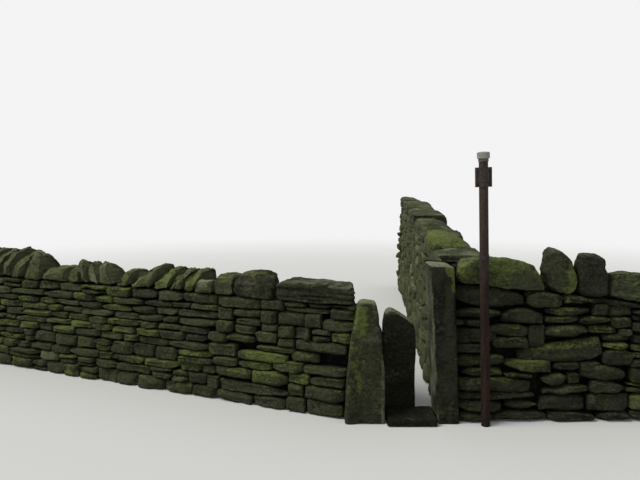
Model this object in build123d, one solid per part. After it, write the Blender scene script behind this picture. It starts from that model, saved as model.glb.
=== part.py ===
"""A squeeze stile in a dry stone wall, with the three walls that meet at it and the pole beside it.

Millimetres. The origin is on the ground under the inner jamb stone, in the middle of the stile.
X runs to the right along the road, Y away from the road into the field, Z up.
Each wall has its own line: x along it, y from its seen face into the wall, z up.
"""

from build123d import *
from dataclasses import dataclass
from math import atan, cos, degrees, radians, sin, tan
import os

# The stile
seat_gap = 0.5             # between stones that lean on each other
passage_left = -152.0      # right foot of the left jamb
passage_right = 232.0      # left foot of the gatepost
slot_width = 124.0         # between the inner jamb and the gatepost at the ground
front_line = -250.0        # the road faces of the two front stones

post_width = 162.0
post_spread = 16.0         # wider at the top than at the foot, on the side of the wall
post_depth = 270.0
post_height = 1190.0
post_lean = 3.8            # degrees, the top towards the passage
post_top_fall = 12.0       # the top slopes down to the right by this much
post_arris = 12.0

left_jamb_width = 310.0
left_jamb_depth = 120.0
left_jamb_height = 945.0
left_jamb_round = 34.0     # radius of its worn top corners
left_jamb_arris = 16.0
left_jamb_worn = 95.0      # corners this near the top are worn round

inner_jamb_width = 273.0
inner_jamb_depth = 120.0
inner_jamb_height = 840.0
inner_jamb_front = -30.0
inner_jamb_round = 24.0
inner_jamb_arris = 12.0
inner_jamb_worn = 170.0

threshold_height = 60.0
threshold_front = -300.0
threshold_arris = 10.0

# The walls
leaf_thickness = 150.0     # each face is one stone thick
head_length = 170.0        # the built end of a wall
cope_gap = 10.0            # between cope stones on the wall
cope_overhang = 14.0       # how far a cope stands out past the face under it
cope_arris = 9.0
cope_stagger = 5.6         # every other cope stone stands this far forward, and the rest back

left_wall_turn = -21.2
left_wall_foot = (-385.0, -220.0)
left_wall_length = 4260.0
left_wall_thickness = 500.0
left_wall_height = 865.0
left_wall_batter = 0.06
# The end of the left wall behind the jambs: how far each step comes in, and its share of the height
HEAD_STEPS = [(0.0, 0.76), (50.0, 0.88), (85.0, 0.92)]
left_wall_bare_drop = 66.0  # how much lower the wall's corner is that its long cope leaves bare

post_joint = 4.0           # between the gatepost and the right wall, at the top of the wall
right_wall_face = -230.0
right_wall_length = 1950.0
right_wall_thickness = 500.0
right_wall_height = 1043.0
right_wall_fall = 0.1075   # its top drops this much for each unit away from the gatepost
right_wall_batter = 0.06

field_wall_turn = -95.3
field_wall_length = 5500.0
field_wall_thickness = 500.0
field_wall_height = 1100.0
field_wall_rise = 0.07     # its top climbs with the field
field_wall_batter = 0.03
field_wall_set = 4.0       # how far its face stands out past the gatepost's foot
corner_flag_height = 100.0
corner_flag_overhang = 105.0  # how far the corner flag stands out past the face under it
field_flag_start = 90.0    # from the back of the right wall to the first flag, clear of the long cope

# The pole
pole_diameter = 63.5
pole_wall = 3.6
pole_foot_x = 577.0
pole_lean = 2.11           # degrees, the top to the left
pole_length = 1993.0       # along its axis, to the top of the cap
pole_seat = 0.25           # between the pole and the foot of the wall behind it
sleeve_gap = 0.3           # round the tube, inside what fits over it
cap_diameter = 88.0
cap_thickness = 48.0
cap_crown = 4.0
cap_bevel = 5.0            # of its upper edge
cap_socket = 34.0          # how deep the tube goes into the wide part of the cap
skirt_wall = 3.6
skirt_length = 22.0
clamp_height = 138.0
clamp_top = 110.0          # below the top of the pole
clamp_plate = 6.0
clamp_ear = 20.0           # how far the ears stand out past the shell round the pole
clamp_split = 2.0
bolt_diameter = 10.0
bolt_head = 17.0           # across the flats
bolt_head_height = 7.0
bolt_inset = 10.0          # from the edge of the ear
bolt_pitch = 84.0
bolt_end = 4.0             # the thread that stands out past the nut
strap_height = 36.0
strap_wall = 2.6
strap_centre = 1248.0      # along the pole, from the ground

# Outlines, as shares of a stone's width and height, going round from its foot
LEFT_JAMB = [
    (0.0, 0.0), (1.0, 0.0), (0.995, 0.36), (0.87, 0.76),
    (0.765, 1.0), (0.33, 0.985), (0.2, 0.76), (0.045, 0.36),
]
INNER_JAMB = [
    (0.0, 0.0), (1.0, 0.0), (0.985, 0.76), (0.925, 0.855),
    (0.24, 1.0), (0.09, 0.97), (0.025, 0.857),
]
RIGHT_LONG = [
    (0.0, 0.0), (0.985, 0.0), (1.0, 0.26), (0.877, 0.83),
    (0.515, 1.0), (0.25, 0.94), (0.006, 0.48),
]
RIGHT_EGG = [
    (0.45, 0.0), (0.985, 0.0), (1.0, 0.33), (0.834, 0.676), (0.641, 0.86),
    (0.478, 1.0), (0.223, 0.977), (0.0, 0.654), (0.256, 0.262),
]
RIGHT_SQUARE = [(0.25, 0.0), (1.0, 0.0), (0.966, 0.4), (0.8, 0.8), (0.7, 0.95), (0.2, 1.0), (0.0, 0.92)]
FLAT_LEFT_HIGH = [(0.0, 0.0), (1.0, 0.0), (1.0, 0.85), (0.22, 1.0), (0.016, 0.89)]
FLAT_RIGHT_HIGH = [(0.0, 0.0), (1.0, 0.0), (0.985, 0.82), (0.8, 1.0), (0.02, 0.8)]
LENS = [(0.0, 0.0), (1.0, 0.0), (1.0, 0.35), (0.78, 0.92), (0.45, 1.0), (0.12, 0.8), (0.0, 0.4)]
BOULDER = [
    (0.01, 0.0), (0.99, 0.0), (1.0, 0.6), (0.86, 0.95),
    (0.58, 1.0), (0.36, 0.88), (0.12, 0.58), (0.0, 0.36),
]
BLOCK = [(0.0, 0.0), (1.0, 0.0), (0.99, 0.85), (0.88, 1.0), (0.14, 0.96), (0.01, 0.82)]

# Sections of cope stones, as shares of their depth and height, going round from the foot of the seen side
LEVEL = [(0.0, 0.0), (1.0, 0.0), (1.0, 0.62), (0.9, 0.84), (0.08, 1.0), (0.0, 0.82)]
RISING = [(0.0, 0.0), (1.0, 0.0), (1.0, 0.7), (0.92, 1.0), (0.6, 0.98), (0.06, 0.72), (0.0, 0.5)]
DOMED = [
    (0.0, 0.0), (1.0, 0.0), (1.0, 0.3), (0.87, 0.7),
    (0.64, 0.97), (0.44, 1.0), (0.2, 0.84), (0.0, 0.4),
]
ROUND = [
    (0.0, 0.0), (1.0, 0.0), (1.0, 0.35), (0.84, 0.76),
    (0.56, 1.0), (0.24, 0.98), (0.06, 0.84), (0.0, 0.6),
]
SLOPING = [
    (0.0, 0.0), (0.95, 0.0), (0.95, 0.2), (0.72, 0.62),
    (0.4, 0.92), (0.16, 1.0), (0.04, 0.88), (0.0, 0.6),
]
SHORT = [
    (0.0, 0.0), (0.74, 0.0), (0.74, 0.2), (0.56, 0.58),
    (0.33, 0.88), (0.14, 1.0), (0.03, 0.88), (0.0, 0.55),
]

# Cope stones with their own names, in wall order from the stile:
# gap before, length, height, outline, section, and how much shorter the near end makes it at the back
LEFT_BLOCKS = {
    "left_long_cope": (1.0, 668.0, 160.0, FLAT_LEFT_HIGH, LEVEL, 170.0),
    "left_boulder_cope_1": (10.0, 364.0, 208.0, BOULDER, ROUND, 150.0),
    "left_boulder_cope_2": (8.0, 184.0, 175.0, BLOCK, ROUND, 0.0),
}
RIGHT_BLOCKS = {
    "right_long_cope": (8.0, 676.0, 228.0, RIGHT_LONG, SLOPING, 100.0),
    "right_upright_cope_1": (-78.0, 301.0, 355.0, RIGHT_EGG, SHORT, 180.0),
    "right_upright_cope_2": (-36.0, 263.0, 345.0, RIGHT_SQUARE, SHORT, 110.0),
    "right_flat_cope": (12.0, 488.0, 235.0, FLAT_LEFT_HIGH, SLOPING, 40.0),
    "right_end_cope": (10.0, 300.0, 215.0, FLAT_RIGHT_HIGH, ROUND, 0.0),
}

# Leaning copes of the left wall, from the stile:
# foot width, crest width, height, lean of the crest back to the stile, section
LEANING_GAP = 20.0         # before the first
LEANING_BULGE = 8.0        # of the middle of a slab's long side
LEANING_EDGE = 0.92        # its near edge ends at this share of its height
LEANING_COPES = {
    "left_leaning_copes_near": [
        (180.0, 140.0, 125.0, 0.0, SLOPING), (105.0, 75.0, 202.0, 55.0, DOMED),
        (130.0, 80.0, 198.0, 65.0, DOMED), (170.0, 90.0, 200.0, 65.0, DOMED),
        (230.0, 60.0, 226.0, 80.0, DOMED), (135.0, 70.0, 165.0, 5.0, DOMED),
    ],
    "left_leaning_copes_mid": [
        (150.0, 60.0, 235.0, -85.0, SHORT), (125.0, 50.0, 235.0, -75.0, SHORT),
        (90.0, 50.0, 245.0, -40.0, SHORT), (160.0, 130.0, 165.0, 0.0, ROUND),
        (300.0, 230.0, 150.0, 0.0, ROUND), (230.0, 120.0, 305.0, 50.0, SHORT),
    ],
    "left_leaning_copes_far": [
        (170.0, 90.0, 290.0, 90.0, DOMED), (100.0, 70.0, 315.0, 90.0, DOMED),
        (130.0, 80.0, 295.0, 90.0, DOMED), (120.0, 70.0, 290.0, 60.0, DOMED),
        (150.0, 90.0, 300.0, 50.0, DOMED), (140.0, 100.0, 260.0, 20.0, DOMED),
    ],
}

# Flags of the field wall, from the stile: length, height, outline, section
FIELD_FLAGS = {
    "field_cope_flags_near": [
        (370.0, 95.0, FLAT_LEFT_HIGH, RISING),
        (610.0, 185.0, LENS, SLOPING),
        (430.0, 100.0, FLAT_RIGHT_HIGH, RISING),
    ],
    "field_cope_flags_mid": [
        (760.0, 160.0, LENS, SLOPING),
        (640.0, 165.0, FLAT_LEFT_HIGH, LEVEL),
        (560.0, 125.0, FLAT_RIGHT_HIGH, ROUND),
    ],
    "field_cope_flags_far": [
        (600.0, 165.0, LENS, ROUND),
        (520.0, 130.0, FLAT_LEFT_HIGH, LEVEL),
        (560.0, 150.0, FLAT_RIGHT_HIGH, SLOPING),
    ],
}


@dataclass
class Wall:
    """A length of wall on its own line; near and far are its ends along that line."""

    foot: tuple
    turn: float
    near: float
    far: float
    thickness: float
    height: float          # of the courses, where x is 0
    fall: float            # of the top, for each unit of x
    batter: float          # how far a face leans in, for each unit of height

    def place(self):
        return Pos(self.foot[0], self.foot[1], 0) * Rot(0, 0, self.turn)

    def top_place(self):
        return self.place() * Pos(0, 0, self.height) * Rot(0, degrees(atan(self.fall)), 0)

    def top_at(self, x):
        return self.height - self.fall * x

    def step(self):
        """1 where the wall runs towards its own +x from the stile, and -1 where it runs the other way."""
        return 1 if self.far > self.near else -1

    def highest(self):
        return max(self.top_at(self.near), self.top_at(self.far))

    def head_start(self):
        return self.far - self.step() * head_length

    def top_width_at(self, x):
        return self.thickness - 2 * self.batter * self.top_at(x)


def carried_across(outline, start, end):
    """The outline in x and z, carried along Y."""
    face = Plane.XZ * make_face(Polyline(*outline, close=True))
    return extrude(Pos(0, start, 0) * face, amount=end - start, dir=(0, 1, 0))


def carried_along(section, start, end):
    """The section in y and z, carried along X."""
    face = Plane.YZ * make_face(Polyline(*section, close=True))
    return extrude(Pos(start, 0, 0) * face, amount=end - start, dir=(1, 0, 0))


def shaped(shares, left, width, height):
    """An outline given in shares, at its real size."""
    return [(left + width * across, height * up) for across, up in shares]


def knocked_off(block, arris):
    """The block with every arris worn off, apart from those it stands on."""
    lowest = block.bounding_box().min.Z
    edges = [edge for edge in block.edges() if edge.bounding_box().max.Z > lowest + arris]
    return chamfer(edges, arris)


def worn_round(outline, worn_from, radius):
    """The outline's face, with its corners above worn_from worn round."""
    sketch = make_face(Polyline(*outline, close=True))
    worn = [vertex for vertex in sketch.vertices() if vertex.Y > worn_from]
    return fillet(worn, radius)


def standing_stone(sketch, front, depth, arris):
    """A stone on end, carried back from its road face, with its arrises knocked off."""
    block = extrude(Pos(0, front, 0) * (Plane.XZ * sketch), amount=depth, dir=(0, 1, 0))
    return knocked_off(block, arris)


def post_outline(grown=0.0):
    """The gatepost seen from the road, grown by a clearance on each side and at the top."""
    lean = tan(radians(post_lean))
    left = passage_right - grown
    right = passage_right + post_width + grown
    left_top = post_height + grown
    right_top = left_top - post_top_fall
    top_right = right + post_spread - right_top * lean
    return [(left, 0), (right, 0), (top_right, right_top), (left - left_top * lean, left_top)]


def gatepost():
    block = carried_across(post_outline(), front_line, front_line + post_depth)
    return knocked_off(block, post_arris)


def post_envelope():
    """The room that the walls leave for the gatepost."""
    front = front_line - 2 * post_depth
    return carried_across(post_outline(seat_gap), front, front_line + post_depth + seat_gap)


def left_jamb_outline():
    return shaped(LEFT_JAMB, passage_left - left_jamb_width, left_jamb_width, left_jamb_height)


def left_jamb():
    sketch = worn_round(left_jamb_outline(), left_jamb_height - left_jamb_worn, left_jamb_round)
    return standing_stone(sketch, front_line, left_jamb_depth, left_jamb_arris)


def left_jamb_envelope():
    """The room that the left wall leaves for the jamb, out to the road side of it."""
    sketch = offset(make_face(Polyline(*left_jamb_outline(), close=True)), seat_gap, kind=Kind.INTERSECTION)
    front = front_line - 2 * left_jamb_depth
    back = front_line + left_jamb_depth + seat_gap
    return extrude(Pos(0, front, 0) * (Plane.XZ * sketch), amount=back - front, dir=(0, 1, 0))


def inner_jamb_right():
    return passage_right - slot_width


def inner_jamb():
    left = inner_jamb_right() - inner_jamb_width
    outline = shaped(INNER_JAMB, left, inner_jamb_width, inner_jamb_height)
    sketch = worn_round(outline, inner_jamb_height - inner_jamb_worn, inner_jamb_round)
    return standing_stone(sketch, inner_jamb_front, inner_jamb_depth, inner_jamb_arris)


def threshold():
    """The worn sill between the two front stones, up to the foot of the inner jamb."""
    right = passage_right - (threshold_height - threshold_arris) * tan(radians(post_lean)) - seat_gap
    left = passage_left + seat_gap
    outline = [(left, 0), (right, 0), (right, threshold_height), (left, threshold_height)]
    block = carried_across(outline, threshold_front, inner_jamb_front - seat_gap)
    return knocked_off(block, threshold_arris)


def elevation(wall, near, far):
    """The wall's seen side from one end to the other, in its own x and z."""
    return [(near, 0), (far, 0), (far, wall.top_at(far)), (near, wall.top_at(near))]


def section(wall, front, back, front_batter, back_batter):
    """A slice of the wall's thickness in y and z, whose two sides lean in by their own batters."""
    high = wall.highest()
    return [(front, 0), (back, 0), (back + back_batter * high, high), (front + front_batter * high, high)]


def layer(wall, near, far, front, back, front_batter, back_batter):
    """One layer of a wall, in row coordinates."""
    low, high = min(near, far), max(near, far)
    bar = carried_along(section(wall, front, back, front_batter, back_batter), low, high)
    sheet = carried_across(elevation(wall, low, high), -wall.thickness, 2 * wall.thickness)
    return wall.place() * (bar & sheet)


def wall_mass(wall):
    """The whole wall as one solid, for the walls that stop against it."""
    return layer(wall, wall.near, wall.far, 0, wall.thickness, wall.batter, -wall.batter)


def wall_layers(wall, seen_name, hidden_name, cuts):
    """The two faces, the hearting between them and the built head at the far end."""
    inner = wall.thickness - leaf_thickness
    lean = wall.batter
    spans = {
        seen_name: (wall.near, wall.head_start(), 0, leaf_thickness, lean, lean),
        hidden_name: (wall.near, wall.head_start(), inner, wall.thickness, -lean, -lean),
        "hearting": (wall.near, wall.head_start(), leaf_thickness, inner, lean, -lean),
        "far_head": (wall.head_start(), wall.far, 0, wall.thickness, lean, -lean),
    }
    layers = {}
    for name, span in spans.items():
        solid = layer(wall, *span)
        for cut in cuts:
            solid = solid - cut
        layers[name] = solid
    return layers


def cope_envelope(wall):
    """The room above the top of a wall that its cope takes."""
    length = abs(wall.far - wall.near)
    back = wall.thickness - wall.batter * wall.top_at(wall.near) + 2 * cope_overhang
    outline = [(0, 0), (length, 0), (length, wall.thickness), (0, wall.thickness)]
    return wall.top_place() * carried_across(outline, -wall.thickness, back)


def cope_stone(wall, outline, start, end, shares, splay=0.0):
    """A cope stone bedded on the sloping top of a wall: a block with its arrises knocked off,
    cut to its section and, where its near end is splayed, to its plan."""
    low, high = min(x for x, _ in outline), max(x for x, _ in outline)
    block = carried_across(outline, start, end)
    block = chamfer(block.edges(), cope_arris)
    tall = max(z for _, z in outline)
    block = block & carried_along(shaped(shares, start, end - start, tall), low, high)
    if splay:
        near, far = (low, high) if wall.step() > 0 else (high, low)
        plan = [(near, start), (far, start), (far, end), (near + wall.step() * splay, end)]
        block = block & extrude(make_face(Polyline(*plan, close=True)), amount=tall)
    return wall.top_place() * block


def cope_span(wall, x, turn):
    """Front and back of a cope stone at x, in front of the line of the cope or behind it by turns."""
    shift = cope_stagger if turn % 2 else -cope_stagger
    front = wall.batter * wall.top_at(x) - cope_overhang + shift
    return front, front + wall.top_width_at(x) + 2 * cope_overhang


def block_copes(wall, blocks, start):
    """Cope stones with their own names, set one after another from start."""
    stones = {}
    along = start
    for turn, (name, (gap, length, height, shares, across, splay)) in enumerate(blocks.items()):
        along = along + gap
        outline = shaped(shares, along, length, height)
        if wall.step() < 0:
            outline = [(-x, z) for x, z in reversed(outline)]
        centre = wall.step() * (along + length / 2)
        stones[name] = cope_stone(wall, outline, *cope_span(wall, centre, turn), across, splay)
        along = along + length
    return stones, along


def leaning_outline(foot, foot_width, crest_width, height, lean):
    """A slab on edge whose crest leans back towards the stile, in distance from it and height."""
    far_foot = foot + foot_width
    far_crest = foot - lean + crest_width
    middle = ((far_foot + far_crest) / 2 + LEANING_BULGE, height / 2)
    near_crest = (foot - LEANING_EDGE * lean, LEANING_EDGE * height)
    return [(foot, 0), (far_foot, 0), middle, (far_crest, height), near_crest]


def leaning_copes(wall, start):
    """The slabs on edge along the left wall, grouped as they stand, as wide as it takes to reach its end."""
    groups = {}
    along = start + LEANING_GAP
    turn = 0
    foot_widths = [slab[0] for slabs in LEANING_COPES.values() for slab in slabs]
    stretch = (abs(wall.far) - along - cope_gap * len(foot_widths)) / sum(foot_widths)
    for name, slabs in LEANING_COPES.items():
        stones = []
        for foot_share, crest_share, height, lean, across in slabs:
            foot_width = stretch * foot_share
            outline = leaning_outline(along, foot_width, stretch * crest_share, height, lean)
            mirrored = [(-x, z) for x, z in reversed(outline)]
            centre = -(along + foot_width / 2)
            stones.append(cope_stone(wall, mirrored, *cope_span(wall, centre, turn), across))
            along = along + foot_width + cope_gap
            turn = turn + 1
        groups[name] = Compound(children=stones)
    return groups


def field_flags(wall, start):
    """The flags laid across the field wall, grouped as they lie, past the corner with the right wall."""
    groups = {}
    along = start
    turn = 0
    for name, flags in FIELD_FLAGS.items():
        stones = []
        for length, height, shares, across in flags:
            outline = [(-x, z) for x, z in reversed(shaped(shares, along, length, height))]
            centre = -(along + length / 2)
            stones.append(cope_stone(wall, outline, *cope_span(wall, centre, turn), across))
            along = along + length + cope_gap
            turn = turn + 1
        groups[name] = Compound(children=stones)
    return groups


def corner_flag(wall, start, end, strip):
    """The narrow flag on the strip of field wall behind the gatepost, as wide there as the strip is."""
    flag = shaped(FLAT_LEFT_HIGH, start, end - start, corner_flag_height)
    outline = [(-x, z) for x, z in reversed(flag)]
    narrowed = end * sin(radians(abs(wall.turn + 90)))
    front = wall.batter * wall.height - corner_flag_overhang
    return cope_stone(wall, outline, front, strip - narrowed - seat_gap, LEVEL)


def bare_corner(left_wall, blocks):
    """The corner at the back of the left wall's near end that its splayed long cope doesn't cover."""
    gap, _, _, _, _, splay = blocks["left_long_cope"]
    deep = left_wall.thickness
    plan = [(gap, 0), (-gap, 0), (-gap - splay, deep), (gap, deep)]
    low = left_wall.height - left_wall_bare_drop
    block = extrude(make_face(Polyline(*plan, close=True)), amount=2 * left_wall_bare_drop)
    return left_wall.place() * Pos(0, 0, low) * block


def stile_head(left_wall):
    """The few long stones that close the left wall behind the jamb, up to the inner jamb."""
    right = inner_jamb_right() - inner_jamb_width - seat_gap
    left = passage_left - left_jamb_width
    high = left_wall.height
    steps = [(right - inward, high * share) for inward, share in HEAD_STEPS]
    outline = [(left, 0), (right, 0), *steps, (left, steps[-1][1])]
    back = left_wall.foot[1] + left_wall.thickness * cos(radians(left_wall.turn)) - left_wall.batter * high
    block = carried_across(outline, front_line + left_jamb_depth + seat_gap, back)
    wall_side = [(-2 * left_jamb_width, 0), (0, 0), (0, 2 * high), (-2 * left_jamb_width, 2 * high)]
    wall_room = carried_across(wall_side, -left_wall.thickness, 2 * left_wall.thickness)
    return block - left_wall.place() * wall_room


def pole_place(wall):
    """On the pole's axis at the ground, against the foot of the wall, tilted with the pole."""
    back = wall.foot[1] - pole_seat - pole_diameter / 2
    return Pos(pole_foot_x, back, 0) * Rot(0, -pole_lean, 0)


def tube():
    """The pole itself, a tube that runs on up inside the cap and is cut level at the ground."""
    top = pole_length - cap_thickness + cap_socket
    below = pole_diameter
    ring = Circle(pole_diameter / 2) - Circle(pole_diameter / 2 - pole_wall)
    return extrude(Pos(0, 0, -below) * ring, amount=top + below)


def cap():
    """A cap with a wide head that rises to the middle and a narrow skirt, hollow for the end of the tube."""
    inside = pole_diameter / 2 + sleeve_gap
    skirt = inside + skirt_wall
    rim = cap_diameter / 2
    head_foot = pole_length - cap_thickness
    low = head_foot - skirt_length
    shoulder = pole_length - cap_crown
    outline = [
        (0, pole_length), (0, low), (skirt, low), (skirt, head_foot), (rim, head_foot),
        (rim, shoulder - cap_bevel), (rim - cap_bevel, shoulder),
    ]
    body = revolve(Plane.XZ * make_face(Polyline(*outline, close=True)), Axis.Z)
    return body - extrude(Pos(0, 0, low) * Circle(inside), amount=head_foot + cap_socket - low)


def clamp_half(side):
    """Half of the sign clamp: a half shell with an ear each way; side is -1 in front and 1 behind."""
    inside = pole_diameter / 2 + sleeve_gap
    outside = inside + clamp_plate
    split = clamp_split / 2
    shell = Circle(outside)
    ears = Pos(0, side * (split + clamp_plate / 2)) * Rectangle(2 * (outside + clamp_ear), clamp_plate)
    half_plane = Pos(0, side * (split + outside)) * Rectangle(4 * outside, 2 * outside)
    sketch = ((shell + ears) & half_plane) - Circle(inside)
    body = extrude(Pos(0, 0, pole_length - clamp_top - clamp_height) * sketch, amount=clamp_height)
    for x, z in bolt_points():
        body = body - Pos(x, 0, z) * Rot(90, 0, 0) * Cylinder(bolt_diameter / 2 + sleeve_gap, 4 * outside)
    return body


def bolt_points():
    """Where the four bolts cross the ears, across and along the pole."""
    across = pole_diameter / 2 + sleeve_gap + clamp_plate + clamp_ear - bolt_inset
    middle = pole_length - clamp_top - clamp_height / 2
    return [(x, middle + z) for x in (-across, across) for z in (-bolt_pitch / 2, bolt_pitch / 2)]


def bolt():
    """A bolt along Y with its head in front of the ears and its nut behind them."""
    ear_face = clamp_split / 2 + clamp_plate
    reach = ear_face + bolt_head_height
    across_corners = bolt_head / 2 / cos(radians(30))
    hexagon = extrude(RegularPolygon(across_corners, 6), amount=bolt_head_height)
    shank = extrude(Pos(0, 0, -reach - bolt_end) * Circle(bolt_diameter / 2), amount=2 * reach + bolt_end)
    both = shank + Pos(0, 0, ear_face) * hexagon + Pos(0, 0, -reach) * hexagon
    return Rot(90, 0, 0) * both


def strap():
    """The dark collar part way up the pole."""
    inside = pole_diameter / 2 + sleeve_gap
    ring = Circle(inside + strap_wall) - Circle(inside)
    return extrude(Pos(0, 0, strap_centre - strap_height / 2) * ring, amount=strap_height)


def pole_parts(wall):
    place = pole_place(wall)
    above_ground = Rectangle(2 * pole_length, 2 * pole_length)
    air = Pos(pole_foot_x, wall.foot[1], 0) * extrude(above_ground, amount=2 * pole_length)
    return {
        "signpole_tube": (place * tube()) & air,
        "signpole_cap": place * cap(),
        "signpole_clamp_front": place * clamp_half(-1),
        "signpole_clamp_back": place * clamp_half(1),
        "signpole_clamp_bolts": Compound(children=[place * Pos(x, 0, z) * bolt() for x, z in bolt_points()]),
        "signpole_strap": place * strap(),
    }


def walls():
    left = Wall(
        left_wall_foot, left_wall_turn, 0.0, -left_wall_length,
        left_wall_thickness, left_wall_height, 0.0, left_wall_batter,
    )
    spread = post_spread * right_wall_height / post_height
    post_right = passage_right + post_width + spread - right_wall_height * tan(radians(post_lean))
    right = Wall(
        (post_right + post_joint, right_wall_face), 0.0, 0.0, right_wall_length,
        right_wall_thickness, right_wall_height, right_wall_fall, right_wall_batter,
    )
    behind_post = front_line + post_depth + seat_gap
    field = Wall(
        (passage_right - field_wall_set, behind_post), field_wall_turn, 0.0, -field_wall_length,
        field_wall_thickness, field_wall_height, field_wall_rise, field_wall_batter,
    )
    return left, right, field


def build():
    left, right, field = walls()
    nodes = {
        "gatepost_stone": gatepost(),
        "left_jamb_stone": left_jamb(),
        "inner_jamb_stone": inner_jamb(),
        "threshold_stone": threshold(),
        "left_wall_stile_head": stile_head(left),
    }
    stops = [post_envelope(), wall_mass(right), cope_envelope(right)]
    stile_side = [left_jamb_envelope(), bare_corner(left, LEFT_BLOCKS)]
    plans = [
        ("left_wall", left, "road_face", "field_face", stile_side),
        ("right_wall", right, "road_face", "field_face", [post_envelope()]),
        ("field_wall", field, "path_face", "far_face", stops),
    ]
    for prefix, wall, seen, hidden, cuts in plans:
        for name, solid in wall_layers(wall, seen, hidden, cuts).items():
            nodes[f"{prefix}_{name}"] = solid

    left_blocks, left_end = block_copes(left, LEFT_BLOCKS, 0.0)
    right_blocks, _ = block_copes(right, RIGHT_BLOCKS, 0.0)
    nodes.update(left_blocks)
    nodes.update(leaning_copes(left, left_end))
    nodes.update(right_blocks)

    corner = right.foot[1] + right.thickness - right.batter * right.height - field.foot[1]
    strip = right.foot[0] - field.foot[0]
    flag_start = cope_gap + strip * tan(radians(abs(field.turn + 90)))
    nodes["field_corner_flag"] = corner_flag(field, flag_start, corner, strip)
    nodes.update(field_flags(field, corner + field_flag_start))
    nodes.update(pole_parts(right))
    return nodes


os.makedirs("parts", exist_ok=True)
for node_name, shape in build().items():
    export_step(shape, f"parts/{node_name}.step")
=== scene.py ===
# %% [markdown]
# # A squeeze stile in a dry stone wall
# Three lengths of gritstone wall meet at a narrow gap between upright stones. The plain model gives each
# wall as a few thick layers and each cope as a clean block. This lesson lays the single stones into those
# layers, wears the blocks down, grows moss and lichen on them, and rusts the pole that stands beside them.
# Everything is in metres, in the frame of the plain model.

# %% Load the plain model
import bpy
import math
import numpy as np
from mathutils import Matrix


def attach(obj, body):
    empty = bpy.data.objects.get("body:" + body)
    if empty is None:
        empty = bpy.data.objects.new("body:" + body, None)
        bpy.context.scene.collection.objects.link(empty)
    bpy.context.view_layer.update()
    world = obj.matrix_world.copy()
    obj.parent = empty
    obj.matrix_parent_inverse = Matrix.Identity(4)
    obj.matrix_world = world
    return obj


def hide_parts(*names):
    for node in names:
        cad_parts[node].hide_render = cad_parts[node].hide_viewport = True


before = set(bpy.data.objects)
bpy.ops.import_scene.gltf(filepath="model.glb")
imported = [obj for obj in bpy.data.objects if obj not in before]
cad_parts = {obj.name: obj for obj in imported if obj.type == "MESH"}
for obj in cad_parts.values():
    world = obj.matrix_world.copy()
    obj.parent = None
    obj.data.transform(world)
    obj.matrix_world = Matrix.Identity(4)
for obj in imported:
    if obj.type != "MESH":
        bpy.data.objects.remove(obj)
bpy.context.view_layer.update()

# %% [markdown]
# ## Numbers that look random
# Weathered stone needs bumps that never repeat but are the same each time the script runs. The usual ways
# are a noise texture, which only shades the surface, or a table of random values on a lattice, blended
# between its points, which can move real points. The second is used, because the silhouette has to change.

# %% Noise on whole arrays of points
def lattice_value(cells, seed):
    """A fixed value from 0 to 1 for each whole-numbered cell. Its three numbers are multiplied by large odd
    numbers and added, and the sum is mixed twice by shift, exclusive or and multiply."""
    cells = cells.astype(np.uint32)
    mixed = cells[..., 0] * np.uint32(374761393) + cells[..., 1] * np.uint32(668265263)
    mixed = mixed + cells[..., 2] * np.uint32(2246822519) + np.uint32(seed * 97 + 11)
    mixed = (mixed ^ (mixed >> 15)) * np.uint32(2246822519)
    mixed = (mixed ^ (mixed >> 13)) * np.uint32(3266489917)
    return (mixed ^ (mixed >> 16)) / 2.0 ** 32


def noise(points, size, seed=0):
    """Values from -1 to 1 that change over that size, one number or one for each axis. The values at the
    eight corners of a point's cell are blended by the smooth step 3t^2 - 2t^3 along each axis."""
    place = points / np.asarray(size)
    cell = np.floor(place).astype(np.int64)
    step = place - cell
    step = step * step * (3 - 2 * step)
    total = 0.0
    for corner in np.ndindex(2, 2, 2):
        weight = np.where(np.array(corner, bool), step, 1 - step).prod(-1)
        total = total + weight * lattice_value(cell + np.array(corner), seed)
    return 2 * total - 1


def rough(points, size, octaves, seed=0):
    """Noise added up over octaves, each half the size and half as strong as the one before."""
    size = np.asarray(size)
    layers = [noise(points, size / 2 ** k, seed + k) / 2 ** k for k in range(octaves)]
    return sum(layers)


def smooth_step(value, low, high):
    """0 below low, 1 above high, and 3t^2 - 2t^3 between them."""
    t = np.clip((value - low) / (high - low), 0, 1)
    return t * t * (3 - 2 * t)


print("noise at the origin", round(float(noise(np.zeros((1, 3)), 0.1)[0]), 3))

# %% [markdown]
# ## One stone
# A walling stone is a block split from thin beds, with knocked corners and soft edges. It could be a cube
# with a bevel, but then every edge has the same radius. Here it is a surface in polar form: each flat side
# and each knocked edge is a plane, and the distance from the middle out to the surface is a smooth minimum
# over all the planes. The planes differ from stone to stone, and the whole wall is worked out at once.

# %% The shell of points
def shell(counts):
    """The surface of the cube from -1 to 1 as points and four-sided faces, cut into counts strips along its
    axes. A point at t along an axis moves to the mean of t and sin(t pi / 2), closer to the edges."""
    faces = []
    for axis in range(3):
        across, up = (axis + 1) % 3, (axis + 2) % 3
        first, second = np.meshgrid(np.arange(counts[across]), np.arange(counts[up]), indexing="ij")
        for side in (0, 1):
            ring = []
            for move_across, move_up in ((0, 0), (1, 0), (1, 1), (0, 1)):
                corner = np.zeros(first.shape + (3,), int)
                corner[..., axis] = side * counts[axis]
                corner[..., across] = first + move_across
                corner[..., up] = second + move_up
                ring.append(corner.reshape(-1, 3))
            faces.append(np.stack(ring if side else ring[::-1], axis=1))
    faces = np.concatenate(faces)
    points, index = np.unique(faces.reshape(-1, 3), axis=0, return_inverse=True)
    t = 2 * points / np.asarray(counts) - 1
    return (t + np.sin(t * np.pi / 2)) / 2, index.reshape(-1, 4)


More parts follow.
